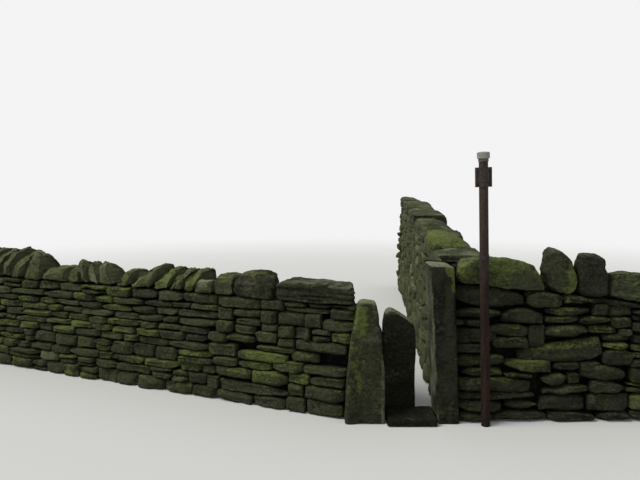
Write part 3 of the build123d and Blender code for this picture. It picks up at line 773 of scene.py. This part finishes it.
def jamb_edge(height):
    """Where the left jamb's back edge crosses the wall's line at a height, between its plain corners."""
    corners = triangles("left_jamb_stone").reshape(-1, 3)
    distance = (corners[:, :2] - left_line.origin) @ left_line.along
    levels = np.unique(np.round(corners[:, 2], 3))
    reach = [distance[np.abs(corners[:, 2] - level) < LEVEL].max() for level in levels]
    return max(float(np.interp(height, levels, reach)), 0.0) + JOINT_HALF


def lay_leaf(name, node, line, seen, counts, seed, courses, lengths, edge, laid=(), wear=0.8, relief=0.014,
             set_back=0.022, mossy=1.0, material=walling_stone):
    """A face of a wall, one stone thick: the stones listed one by one, and courses from there or from edge, a
    function of height, to the head. courses holds the height of a course at the foot and at the top, and
    lengths the shortest stone and the longest."""
    rng = np.random.default_rng(seed)
    by_hand = laid_stones(rng, line, laid)
    shares = course_shares(rng, line.top(line.length / 2), *courses)
    stones = by_hand + course_stones(rng, line, end_of(by_hand, edge), line.head_start, shares, *lengths)
    near, far = (0.0, LEAF) if seen == "near" else (line.thickness - LEAF, line.thickness)
    layer = Layer(line, near, far, seen, set_back, mossy, material)
    clear_of_hearting = [0.0, 0.97] if seen == "near" else [0.03, 1.0]
    depths = np.tile(clear_of_hearting, (len(stones), 1))
    wall_piece(name, node, layer, stones, depths, counts, np.random.default_rng(seed), wear, relief)


lay_leaf("left_wall_road_stones", "left_wall_road_face", left_line, "near", (14, 4, 8), 3,
         (0.11, 0.07), (0.13, 0.42), jamb_edge, LEFT_LAID, wear=0.9)
lay_leaf("left_wall_field_stones", "left_wall_field_face", left_line, "far", (7, 3, 4), 4,
         (0.11, 0.07), (0.13, 0.42), lambda height: 0.17 * (height > BARE_ABOVE))

# %% The right wall
# The right wall's road face is in the darker copy of the walling stone, which is painted shade.
lay_leaf("right_wall_road_stones", "right_wall_road_face", right_line, "near", (20, 5, 11), 5,
         (0.11, 0.075), (0.14, 0.42), lambda height: 0.05, RIGHT_LAID, wear=1.25, relief=0.016,
         material=painted_shade_stone)
lay_leaf("right_wall_field_stones", "right_wall_field_face", right_line, "far", (7, 3, 4), 6,
         (0.11, 0.075), (0.14, 0.42), lambda height: 0.35)

# %% The field wall
lay_leaf("field_wall_path_stones", "field_wall_path_face", field_line, "near", (7, 4, 4), 7,
         (0.14, 0.09), (0.16, 0.42), lambda height: 0.004, wear=1.3, relief=0.009, set_back=0.04,
         mossy=0.45, material=dry_stone)
lay_leaf("field_wall_far_stones", "field_wall_far_face", field_line, "far", (6, 3, 4), 8,
         (0.12, 0.075), (0.14, 0.4), lambda height: 0.5)

# %% [markdown]
# ## The built heads
# A wall's end is closed by a head of squared stones: long ones right across it, and pairs that meet inside.
# It is seen from three sides, so the same layer formula is used with depths over the whole wall, and both
# faces lean in.

# %% The far ends of the three walls
HEAD_INSET = 0.006        # the stones' ends stay inside the plain wall's end
HEAD_STEP = 0.04          # the most that one stone's side stands behind another's, as a share of the wall
HEAD_GAP = 0.01           # half the gap where two stones meet inside the wall, as such a share


def head_piece(name, node, line, seed, foot_course, top_course, inset=0.01):
    """The head of a wall. inset is how far its stones stay inside both faces, as a share of the wall."""
    rng = np.random.default_rng(seed)
    shares = course_shares(rng, line.top(line.length), foot_course, top_course)
    span = (line.head_start + JOINT_HALF, line.length - HEAD_INSET)
    stones, depths = [], []
    for number in range(len(shares) - 1):
        lows = [shares[number] * line.top(s) + JOINT_HALF * (number > 0) for s in span]
        highs = [shares[number + 1] * line.top(s) - JOINT_HALF for s in span]
        meeting = rng.uniform(0.3, 0.7)
        near = inset + rng.uniform(0.0, HEAD_STEP)
        far = 1 - inset - rng.uniform(0.0, HEAD_STEP)
        parts = [(near, far)] if number % 3 == 1 else [(near, meeting - HEAD_GAP), (meeting + HEAD_GAP, far)]
        for part in parts:
            stones.append((*span, *lows, *highs, rng.beta(*MOSSY), rng.uniform(0.25, 0.75), 0.0, 0.0))
            depths.append(part)
    layer = Layer(line, 0.0, line.thickness, "both")
    wall_piece(name, node, layer, stones, depths, (8, 12, 6), rng, 0.3, 0.01)


head_piece("left_wall_head_stones", "left_wall_far_head", left_line, 21, 0.13, 0.09)
head_piece("right_wall_head_stones", "right_wall_far_head", right_line, 22, 0.13, 0.09)
head_piece("field_wall_head_stones", "field_wall_far_head", field_line, 23, 0.14, 0.1, 0.03)

# %% [markdown]
# ## Stones that stand alone
# The copes, the flags and the uprights are large, and the plain model already has their true outlines. A
# modifier could round them, but their few flat faces have no points to move. So each is remade as the same
# worn surface as the walling: its flat sides are read as planes, and the smooth minimum of those planes
# gives as many points as the relief needs.

# %% Sort a node's stones and read their flat sides
def islands(corners):
    """A node's triangles sorted into separate stones. Each point takes the lowest number that it shares a
    triangle with, again and again until nothing changes."""
    places, index = np.unique(np.round(corners.reshape(-1, 3), 5), axis=0, return_inverse=True)
    index = index.reshape(-1, 3)
    label = np.arange(len(places))
    settled = False
    while not settled:
        lower = label.copy()
        np.minimum.at(lower, index, label[index].min(1)[:, None])
        settled = np.array_equal(lower, label)
        label = lower
    owner = label[index[:, 0]]
    return [corners[owner == one] for one in np.unique(owner)]


def flat_sides(corners, centre):
    """The planes m.(p - centre) = 1 of a convex stone, one for each direction that its triangles face."""
    square = crossed(corners)
    facing = unit(square)
    _, first = np.unique(np.round(facing, 2), axis=0, return_index=True)
    distance = ((corners[first, 0] - centre) * facing[first]).sum(1)
    return facing[first] / distance[:, None]


print("slabs in a group of the left wall", len(islands(triangles("left_leaning_copes_near"))))

# %% Wear one stone down
CHIP = 0.03               # the most that a broken plane takes off a stone
END_PART = 0.35           # a stone's lean is read from the middles of its lowest and highest such share
THINNEST = 0.02           # half a stone is taken to be at least this thick


def broken_planes(rng, places, centre, breaks, deepest):
    """Planes in random directions. Each breaks off the part of a stone that reaches furthest that way, by up
    to deepest of that reach and CHIP at most."""
    directions = unit(rng.normal(size=(breaks, 3)))
    reach = ((places - centre) @ directions.T).max(0)
    taken = np.minimum(deepest * reach, CHIP) * rng.uniform(0.1, 1.0, breaks)
    return directions / (reach - taken)[:, None]


def worn_stone(corners, axes, counts, sharpness, rng, breaks, deepest):
    """One plain stone as a worn surface: a shell of directions as long, wide and high as the stone along
    those axes and leaning as it leans, scaled to its planes. Returns points, facings and faces."""
    places = corners.reshape(-1, 3) @ axes.T
    low, high = places.min(0), places.max(0)
    upper = places[places[:, 2] > END_PART * low[2] + (1 - END_PART) * high[2]].mean(0)
    lower = places[places[:, 2] < (1 - END_PART) * low[2] + END_PART * high[2]].mean(0)
    lean = np.append(((upper - lower) / 2)[:2], 0)
    centre = (upper + lower) / 2
    half = np.maximum((high - low) / 2 - np.abs(lean), THINNEST)
    template, faces = shell(counts)
    directions = (template * half + template[:, 2:] * lean) @ axes
    centre = centre @ axes
    broken = broken_planes(rng, corners.reshape(-1, 3), centre, breaks, deepest)
    points, facing = worn(directions, np.concatenate([flat_sides(corners, centre), broken]), sharpness)
    return points + centre, unit(facing), faces


print("a stone loses at most", CHIP, "m at a broken corner")

# %% A node's stones as a piece
def axes_of(line):
    """Three directions square to each other along a wall's line, or the model's own where there is none."""
    if line is None:
        return np.eye(3)
    return np.array([[line.into[1], -line.into[0], 0], [*line.into, 0], [0, 0, 1]])


def distance_along(corners, line):
    """How far a stone's middle is from the stile."""
    return (corners.mean((0, 1))[:2] - line.origin) @ line.along if line else 0.0


def relieved(made, relief):
    """Worn stones as arrays of points and facings, with the points moved along the facings by the relief,
    and never below the ground."""
    points = np.array([stone[0] for stone in made])
    facing = np.array([stone[1] for stone in made])
    points = points + facing * relief(points)[..., None]
    points[..., 2] = np.maximum(points[..., 2], 0)
    return points, facing


def worn_piece(name, node, seed, line, counts, relief, moss, tone, paint_more=None, sharpness=80,
               material=cope_stone, breaks=34, deepest=0.16):
    """A plain node's stones, worn. moss and tone have a value for each stone, in order from the stile."""
    stones = sorted(islands(triangles(node)), key=lambda corners: distance_along(corners, line))
    rng = np.random.default_rng(seed)
    made = [worn_stone(corners, axes_of(line), counts, sharpness, rng, breaks, deepest) for corners in stones]
    apart = 7.7 * np.arange(len(stones))[:, None, None]     # each stone reads a place of its own
    points, facing = relieved(made, lambda places: relief(places + 3.1 * seed + apart))
    moss = np.array(moss, float)[:, None]
    paint = {
        "tone": np.array(tone, float)[:, None] + 0.12 * noise(points, 0.2, seed + 3),
        "moss": moss_at(points, facing, moss),
        "pale": np.clip(0.05 + 0.3 * facing[..., 2] * (1 - moss) + 0.45 * noise(points, 0.12, 43), 0, 1),
        "shade": np.zeros(points.shape[:2]),
    }
    if paint_more:
        paint_more(points, facing, paint)
    make_piece(name, node, points, made[0][2], paint, material)


print("axes of the left wall", axes_of(left_line).round(2).tolist())

# %% Reliefs of copes and flags
def lumpy(height, inward=0.75):
    """Relief of a rough cope: lumps, dents and thin beds, moved inward by that share of its height."""
    def relief(points):
        beds = noise(points, (0.35, 0.35, 0.022), 13)
        lumps = 0.4 * rough(points, 0.16, 2, 11) + 0.4 * rough(points, 0.065, 3, 12)
        return height * (lumps + 0.3 * beds - inward)
    return relief


def slabbed(height):
    """Relief of a slab on edge: its beds stand upright, square to the wall, over lumps, mostly inward."""
    def relief(points):
        beds = noise(points + 0.01 * noise(points, 0.08, 73)[..., None], (0.028, 0.25, 0.25), 74)
        lumps = 0.4 * rough(points, 0.13, 2, 11) + 0.4 * rough(points, 0.05, 3, 12)
        return height * (lumps + 0.45 * beds - 0.9)
    return relief


def bedded(height, inward=0.9):
    """Relief of a flag: the ragged edges of its thin beds over slow lumps, moved inward by that share."""
    def relief(points):
        beds = noise(points + 0.004 * noise(points, 0.05, 63)[..., None], (0.22, 0.22, 0.016), 64)
        lumps = 0.4 * rough(points, 0.14, 2, 65) + 0.3 * rough(points, 0.05, 2, 66)
        return height * (lumps + 0.7 * beds - inward)
    return relief


for title, relief in (("lumpy", lumpy(0.018)), ("slabbed", slabbed(0.02)), ("bedded", bedded(0.015))):
    print(title, "relief at the origin, metres", relief(np.zeros((1, 3))).round(4))

# %% The copes of the left wall
def paint_long_cope(points, facing, paint):
    """Pale flakes along its top, most of them towards the stile, and along its lower edge."""
    share = smooth_step(points[..., 0], points[..., 0].min(), points[..., 0].max())
    low = smooth_step(points[..., 2].min() + 0.05 - points[..., 2], -0.01, 0.03)
    flakes = smooth_step(noise(points, (0.05, 0.05, 0.02), 67), 0.0, 0.5)
    paint["pale"] = np.clip(paint["pale"] + flakes * np.clip(facing[..., 2] * share + 0.6 * low, 0, 1), 0, 1)


def paint_leaning(points, facing, paint):
    """Weathered pale, and bare grey stone where a slab faces away from the far end and not up."""
    bare = smooth_step(facing[..., 0] - 0.5 * facing[..., 2], 0.1, 0.6)
    paint["moss"] = paint["moss"] * (1 - 0.7 * bare)
    paint["pale"] = np.clip(paint["pale"] + 0.3 + 0.2 * bare, 0, 1)


# The long cope and the first boulder are in the darker copy of the walling stone, which is painted shade.
worn_piece("left_long_cope_stone", "left_long_cope", 1, left_line, (50, 30, 22), bedded(0.018, 0.4),
           [0.1], [0.3], paint_long_cope, material=painted_shade_stone)
worn_piece("left_boulder_1_stone", "left_boulder_cope_1", 2, left_line, (30, 30, 18), lumpy(0.018, 0.2),
           [0.2], [0.3], material=painted_shade_stone, deepest=0.1)
worn_piece("left_boulder_2_stone", "left_boulder_cope_2", 3, left_line, (20, 30, 16), lumpy(0.015),
           [0.4], [0.5])

# for each group: its seed, and how mossy and how light its six slabs are
LEANING = {
    "near": (4, [0.3, 0.85, 0.5, 1.0, 0.65, 0.45], [0.6, 0.9, 0.7, 0.95, 0.8, 0.6]),
    "mid": (5, [0.4, 0.45, 0.2, 0.65, 0.5, 0.35], [0.8, 0.75, 0.6, 0.9, 0.7, 0.65]),
    "far": (6, [0.4, 0.3, 0.45, 0.25, 0.4, 0.3], [0.75, 0.65, 0.8, 0.85, 0.7, 0.75]),
}
for group, (seed, moss, tone) in LEANING.items():
    worn_piece(f"left_leaning_{group}_stones", f"left_leaning_copes_{group}", seed, left_line, (14, 30, 20),
               slabbed(0.02), moss, tone, paint_leaning, 90, material=dry_stone)

# %% The copes of the right wall
def paint_egg(points, facing, paint):
    """Moss in a stripe down the side away from the stile, from its crest on."""
    side = points[..., 0] - points[..., 0].mean() - 0.2 * (points[..., 2] - points[..., 2].mean())
    stripe = smooth_step(side + 0.03 * noise(points, 0.04, 62), 0.0, 0.09)
    paint["moss"] = np.clip(paint["moss"] + 0.6 * stripe, 0, 1.2)


worn_piece("right_long_cope_stone", "right_long_cope", 7, right_line, (50, 30, 24), lumpy(0.017, 0.3),
           [0.8], [0.5], deepest=0.1)
worn_piece("right_upright_1_stone", "right_upright_cope_1", 8, right_line, (28, 28, 34), lumpy(0.015, 0.3),
           [0.25], [0.3], paint_egg)
# The second upright is in the darker copy of the walling stone, which is painted shade.
worn_piece("right_upright_2_stone", "right_upright_cope_2", 9, right_line, (28, 28, 34), lumpy(0.015, 0.3),
           [0.1], [0.25], material=painted_shade_stone)
worn_piece("right_flat_cope_stone", "right_flat_cope", 10, right_line, (36, 28, 20), lumpy(0.016),
           [0.45], [0.4])
worn_piece("right_end_cope_stone", "right_end_cope", 11, right_line, (26, 28, 20), lumpy(0.016),
           [0.3], [0.5])

# %% The flags of the field wall
def paint_corner_flag(points, facing, paint):
    """Dark where it lies on the wall and rubbed pale at its right end."""
    right = smooth_step(points[..., 0] + 0.02 * noise(points, 0.05, 69), 0.24, 0.32)
    paint["tone"] = 0.2 + 0.6 * right
    paint["pale"] = np.clip(0.9 * right + 0.2 * noise(points, 0.06, 70), 0, 1)


worn_piece("field_corner_flag_stone", "field_corner_flag", 12, field_line, (34, 20, 14), bedded(0.011),
           [0.15], [0.7], paint_corner_flag)

# for each group: its seed, the height of its relief, and how mossy and how light its three flags are
FLAGS = {
    "near": (13, 0.014, [0.1, 0.95, 0.25], [0.35, 0.6, 0.3]),
    "mid": (14, 0.015, [0.3, 0.2, 0.3], [0.4, 0.3, 0.45]),
    "far": (15, 0.015, [0.3, 0.2, 0.3], [0.4, 0.5, 0.45]),
}
for group, (seed, height, moss, tone) in FLAGS.items():
    worn_piece(f"field_flags_{group}_stones", f"field_cope_flags_{group}", seed, field_line, (34, 34, 18),
               bedded(height), moss, tone, sharpness=90)

# %% [markdown]
# ## The uprights of the stile
# The post is squared and tooled, so its relief is shallow and fine. The left jamb is a rough pillar with
# upright flutes, green on the side away from the passage. The inner jamb is smooth and dark, with a worn
# pale top. They could be sculpted, but a relief and painted values that are formulas of the place on the
# stone are easy to read and to change.

# %% The gatepost
def tooled(points):
    """Relief of a dressed face: fine pecks over slow dips, nearly all of it inward."""
    return 0.003 * (0.7 * rough(points, 0.11, 2, 15) + 0.4 * noise(points, 0.018, 16) - 1.2)


def paint_post(points, facing, paint):
    """Moss above a line that slants down to the right at the top, and round the foot, streaks and blotches
    between dark and light, and pale worn stone on the top and the passage side."""
    x, z = points[..., 0], points[..., 2]
    corner = z + 2 * (x - 0.26) + 0.05 * noise(points, 0.04, 50) + 0.04 * noise(points, 0.015, 49)
    top_right = smooth_step(corner, 1.03, 1.22) * smooth_step(noise(points, 0.07, 51), -1.4, 0.0)
    foot = smooth_step(0.35 - z, 0.0, 0.3) * 0.3
    up = smooth_step(facing[..., 2], 0.3, 0.9)
    patches = 0.25 * noise(points, 0.1, 52)
    paint["moss"] = np.clip(0.1 + 0.9 * top_right * (1 - 0.7 * up) + foot + patches, 0, 1.2)
    streaks = noise(points, (0.035, 0.035, 0.3), 71)
    blotches = noise(points, (0.05, 0.05, 0.09), 72)
    paint["tone"] = np.clip(0.42 + 0.5 * streaks + 0.45 * blotches, 0, 1)
    passage_side = smooth_step(-facing[..., 0], 0.4, 0.9)
    paint["pale"] = np.clip(1.2 * up + 0.45 * passage_side + 0.3 * noise(points, 0.12, 53), 0, 1)


worn_piece("gatepost_dressed_stone", "gatepost_stone", 16, None, (18, 28, 120), tooled, [0.1], [0.55],
           paint_post, 90, post_stone, 0)

# %% The left jamb
def fluted(points):
    """Relief of the left jamb: dips much longer than wide, over fine lumps."""
    return 0.014 * (0.7 * noise(points, (0.07, 0.2, 0.7), 17) + 0.3 * rough(points, 0.06, 3, 18) - 0.6)


def paint_left_jamb(points, facing, paint):
    """Bright moss down its left side, a lighter strip along its right edge, and lichen on its round top."""
    x, z = points[..., 0], points[..., 2]
    ridge = -0.305 + 0.05 * smooth_step(z, 0.55, 0.9)
    left_side = smooth_step(ridge - x + 0.025 * noise(points, 0.1, 54), -0.02, 0.05)
    left_side = left_side * smooth_step(z, 0.05, 0.4)
    patches = smooth_step(noise(points, (0.06, 0.06, 0.18), 55), -0.3, 0.5)
    spots = 0.25 * noise(points, 0.07, 56) + 0.2 * noise(points, 0.025, 68)
    paint["moss"] = np.clip(0.12 + 0.85 * left_side * (0.5 + 0.5 * patches) + spots, 0, 1.2)
    edge = smooth_step(x, -0.21, -0.17) * smooth_step(0.75 - z, 0.0, 0.3)
    top = smooth_step(z, 0.87, 0.93)
    paint["moss"] = paint["moss"] * (1 - 0.8 * top)
    paint["pale"] = np.clip(0.06 + 0.5 * edge + 0.8 * top + 0.35 * noise(points, 0.08, 57), 0, 1)


worn_piece("left_jamb_pillar", "left_jamb_stone", 17, None, (34, 18, 100), fluted, [0.3], [0.5],
           paint_left_jamb, 80, jamb_stone, 0)

# %% The inner jamb and the threshold
def rubbed(points):
    """Relief of a stone that use and weather have rubbed smooth."""
    return 0.006 * (0.7 * rough(points, 0.15, 2, 19) + 0.3 * rough(points, 0.04, 2, 20) - 1.1)


def paint_inner_jamb(points, facing, paint):
    """Dark on its face, pale where the top is worn."""
    top = smooth_step(points[..., 2] + 0.25 * (points[..., 0] + 0.1), 0.7, 0.82)
    paint["moss"] = np.clip(0.08 + 0.25 * noise(points, 0.12, 58) + 0.25 * top, 0, 1)
    crown = smooth_step(facing[..., 2], 0.1, 0.6)
    paint["pale"] = np.clip(0.1 + 0.4 * top + 0.45 * crown + 0.25 * noise(points, 0.15, 59), 0, 1)


def paint_threshold(points, facing, paint):
    """Dark and earthy, a little rubbed in the middle of its front edge."""
    paint["moss"] = np.clip(0.1 + 0.2 * noise(points, 0.1, 61), 0, 1)
    front_edge = smooth_step(facing[..., 2], 0.3, 0.8) * smooth_step(-points[..., 1], 0.2, 0.3)
    paint["pale"] = np.clip(0.25 * front_edge, 0, 1)


worn_piece("inner_jamb_slab", "inner_jamb_stone", 18, None, (32, 18, 90), rubbed, [0.1], [0.5],
           paint_inner_jamb, 70, post_stone, 0)
worn_piece("threshold_sill", "threshold_stone", 19, None, (36, 26, 10), rubbed, [0.0], [0.25],
           paint_threshold, 50, post_stone, 0)

# %% [markdown]
# ## The end of the left wall behind the jambs
# A few long stones close the wall there. They could be cut from the plain block with a Boolean, but its
# flat faces would have no points to wear. So each is a worn stone again: its planes are the block's own
# planes and four more, for the two levels and the two depths that it lies between.

# %% A stone between two beds
def head_between(corners, low, high, front, back):
    """The part of a block between two levels and two depths, as a worn stone."""
    places = corners.reshape(-1, 3)
    middle = (places.min(0) + places.max(0)) / 2
    centre = np.array([middle[0], (front + back) / 2, (low + high) / 2])
    sides = flat_sides(corners, centre)
    beds = np.array([[0, 0, 1 / (high - centre[2])], [0, 0, -1 / (centre[2] - low)],
                     [0, 1 / (back - centre[1]), 0], [0, -1 / (centre[1] - front), 0]])
    half = (places.max(0) - places.min(0)) / 2
    half[1], half[2] = (back - front) / 2, (high - low) / 2
    template, faces = shell((22, 14, 8))
    points, facing = worn(template * half, np.concatenate([sides, beds]), 60)
    return points + centre, unit(facing), faces


print("the end is a block with", len(triangles("left_wall_stile_head")), "triangles")

# %% The stile head
HEAD_BEDS = np.array([0.0, 0.14, 0.3, 0.43, 0.58, 0.7, 0.84, 1.0])   # as shares of the end's height


def stile_head_piece():
    """Long stones that go right through the end, and pairs that meet inside it, by turns."""
    corners = triangles("left_wall_stile_head")
    places = corners.reshape(-1, 3)
    front, back, top = places[:, 1].min(), places[:, 1].max(), places[:, 2].max()
    levels = HEAD_BEDS * top
    rng = np.random.default_rng(31)
    made = []
    for number, (low, high) in enumerate(zip(levels[:-1], levels[1:])):
        split = front + (back - front) * rng.uniform(0.4, 0.6)
        depths = [(front, back)] if number % 2 else [(front, split - JOINT_HALF), (split + JOINT_HALF, back)]
        for near, far in depths:
            made.append(head_between(corners, low + JOINT_HALF * (number > 0), high - JOINT_HALF, near, far))
    points, facing = relieved(made, lumpy(0.006))
    count = len(made)
    paint = {
        "tone": rng.uniform(0.3, 0.7, (count, 1)),
        "moss": moss_at(points, facing, rng.uniform(0.1, 0.5, (count, 1))),
        "pale": np.clip(0.3 * noise(points, 0.15, 60), 0, 1),
        "shade": np.zeros((count, 1)),
    }
    make_piece("left_wall_stile_head_stones", "left_wall_stile_head", points, made[0][2], paint,
               walling_stone)


stile_head_piece()

# %% [markdown]
# ## What keeps its plain shape
# The hearting is small packed rubble, seen only as darkness in the joints. The pole, its cap and its clamp
# are true as they are, and remaking them would show nothing new. They get finishes: brown paint that has
# gone to rust, bare rust lower down, and a grey plastic cap.

# %% Rubble
def hearting_finish():
    """Small stones with dark between them, from the distance to the middle of a cell."""
    make = Finish("hearting_rubble")
    stones = make.cells(22.0)
    body = make.blend(make.step(stones, 0.1, 0.7), colour(44, 41, 30), JOINT)
    return make.finish(body, 0.95, 1 - stones, 0.03, 0.2)


FINISHES = {"hearting": hearting_finish()}
print("a finish for", *FINISHES)

# %% Rust
RUST_FALL = 0.55          # how fast rust takes over from the top down, for each metre


def rust_finish(name, colours, rust_below):
    """Old paint in two colours and rust in two. Below rust_below metres the rust has taken over."""
    paint_dark, paint_light, rust_dark, rust_light = [colour(*given) for given in colours]
    make = Finish(name)
    broad = make.grain(9.0, 4.0, (1.0, 1.0, 0.35))
    mottle = make.grain(60.0, 5.0)
    fine = make.grain(380.0, 3.0)
    streaks = make.grain(40.0, 4.0, (1.0, 1.0, 0.12))
    painted = make.blend(make.step(mottle, 0.35, 0.7), paint_dark, paint_light)
    flakes = make.step(streaks * 0.6 + mottle * 0.4 + fine * 0.2, 0.5, 0.75)
    rusted = make.blend(flakes, rust_dark, rust_light)
    edge = RUST_FALL * rust_below
    amount = make.step(make.height() * -RUST_FALL + broad * 0.9 + mottle * 0.35, 0.35 - edge, 0.85 - edge)
    body = make.blend(amount, painted, rusted)
    height = mottle * 0.6 + fine * 0.3 - amount * 0.25
    return make.finish(body, make.step(amount, -0.5, 1.0) * 0.25 + 0.62, height, 0.0022, 0.2)


# for each part: its finish, its two colours of paint and two of rust, and below what height it has rusted
RUSTS = {
    "signpole_tube": ("pole_rust", ((42, 35, 31), (66, 54, 47), (21, 16, 12), (52, 33, 23)), 1.1),
    "signpole_clamp": ("clamp_rust", ((42, 36, 34), (70, 62, 58), (56, 41, 35), (88, 65, 54)), 1.2),
    "signpole_strap": ("strap_rust", ((34, 31, 32), (52, 47, 46), (52, 38, 34), (78, 56, 48)), 0.4),
}
for part, given in RUSTS.items():
    FINISHES[part] = rust_finish(*given)
    print("a finish for", part)

# %% The cap, and all finishes applied
def cap_finish(head_foot):
    """Weathered grey plastic, with rust run down over the narrow skirt below head_foot metres."""
    make = Finish("grey_cap_plastic")
    broad = make.grain(30.0, 4.0)
    fine = make.grain(300.0, 3.0)
    body = make.blend(make.step(broad + fine * 0.3, 0.45, 0.85), colour(150, 150, 144), colour(116, 116, 108))
    stain = make.step(make.height() * 10 + broad * 0.03, head_foot * 10 + 0.02, head_foot * 10 - 0.02)
    body = make.blend(stain * 0.9, body, colour(80, 64, 61))
    return make.finish(body, 0.6, broad * 0.4 + fine * 0.3, 0.0015, 0.4)


CAP_HEAD = 0.05           # height of the wide part of the cap, metres
cap_top = float(triangles("signpole_cap")[..., 2].max())
FINISHES["signpole_cap"] = cap_finish(cap_top - CAP_HEAD)
for node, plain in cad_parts.items():
    for part, material in FINISHES.items():
        if part in node:
            plain.data.materials.clear()
            plain.data.materials.append(material)
            print(node, "is finished with", material.name)

# %% [markdown]
# ## Floor, light and camera
# The stones stand on a plain pale floor that fades into a white background, under a broad soft light from
# the left and the even light of a pale sky. A picture of a sky could light them, but it would tint the
# stone. The camera stands at eye height, four metres from the stile, and looks slightly down.

# %% The floor and its background
BACKGROUND = (0.9, 0.9, 0.9, 1.0)
SHOWN_TO = ("Is Camera Ray", "Is Glossy Ray", "Is Transmission Ray")
FLOOR_REACH = 60.0        # half the floor's width, metres
FADE = (7.0, 16.0)        # the floor turns into background between these distances from the stile


def shown(make):
    """1 for the rays that show the background, and 0 for those that only light the stones."""
    camera, glossy, transmission = [make.node("ShaderNodeLightPath", output=ray) for ray in SHOWN_TO]
    return make.maths("MAXIMUM", make.maths("MAXIMUM", camera, glossy), transmission)


def floor_finish():
    """Pale grey that takes shadows, and turns into the background with distance."""
    make = Finish("pale_floor")
    distance = make.node("ShaderNodeVectorMath", {"operation": "LENGTH"}, {0: make.spot}, "Value")
    shade = make.blend(shown(make), (0.3, 0.3, 0.29, 1.0), (0.62, 0.62, 0.6, 1.0))
    pale = make.node("ShaderNodeBsdfDiffuse", inputs={"Color": shade})
    glow = make.node("ShaderNodeEmission", inputs={"Color": BACKGROUND})
    faded = make.node("ShaderNodeMixShader", inputs={0: make.step(distance, *FADE), 1: pale, 2: glow})
    make.close("ShaderNodeOutputMaterial", faded)
    return make.material


floor_mesh = bpy.data.meshes.new("floor")
corners = [(x * FLOOR_REACH, y * FLOOR_REACH, 0) for x, y in ((-1, -1), (1, -1), (1, 1), (-1, 1))]
floor_mesh.from_pydata(corners, [], [(0, 1, 2, 3)])
floor_mesh.materials.append(floor_finish())
floor = put("floor", floor_mesh)
print("the floor is", 2 * FLOOR_REACH, "m wide and fades between", FADE)

# %% The light
world = bpy.data.worlds.new("pale_sky")
bpy.context.scene.world = world
SKY_STRENGTH = 0.55
sky = Graph(world)
pale_blue = {"Color": (0.95, 0.98, 1.0, 1.0), "Strength": SKY_STRENGTH}
lighting = sky.node("ShaderNodeBackground", inputs=pale_blue)
seen = sky.node("ShaderNodeBackground", inputs={"Color": BACKGROUND})
both = sky.node("ShaderNodeMixShader", inputs={0: shown(sky), 1: lighting, 2: seen})
sky.close("ShaderNodeOutputWorld", both)

sun = bpy.data.lights.new("soft_light", "SUN")
sun.energy = 2.4
sun.angle = math.radians(30)
sun.color = (1.0, 0.98, 0.94)
lamp = put("soft_light", sun)
lamp.rotation_euler = (math.radians(42), 0, math.radians(-71))
print("strength of the sun", sun.energy, "and of the sky", SKY_STRENGTH)

# %% The camera
EYE = (-0.64, -4.085, 1.73)
LOOK_DOWN = 5.395         # degrees
eye = bpy.data.cameras.new("eye")
eye.lens = 30.375
eye.sensor_width = 36.0
camera = put("eye", eye)
camera.location = EYE
camera.rotation_euler = (math.radians(90 - LOOK_DOWN), 0, 0)
bpy.context.scene.camera = camera
bpy.context.scene.view_settings.view_transform = "Standard"
print("the camera is at", EYE)
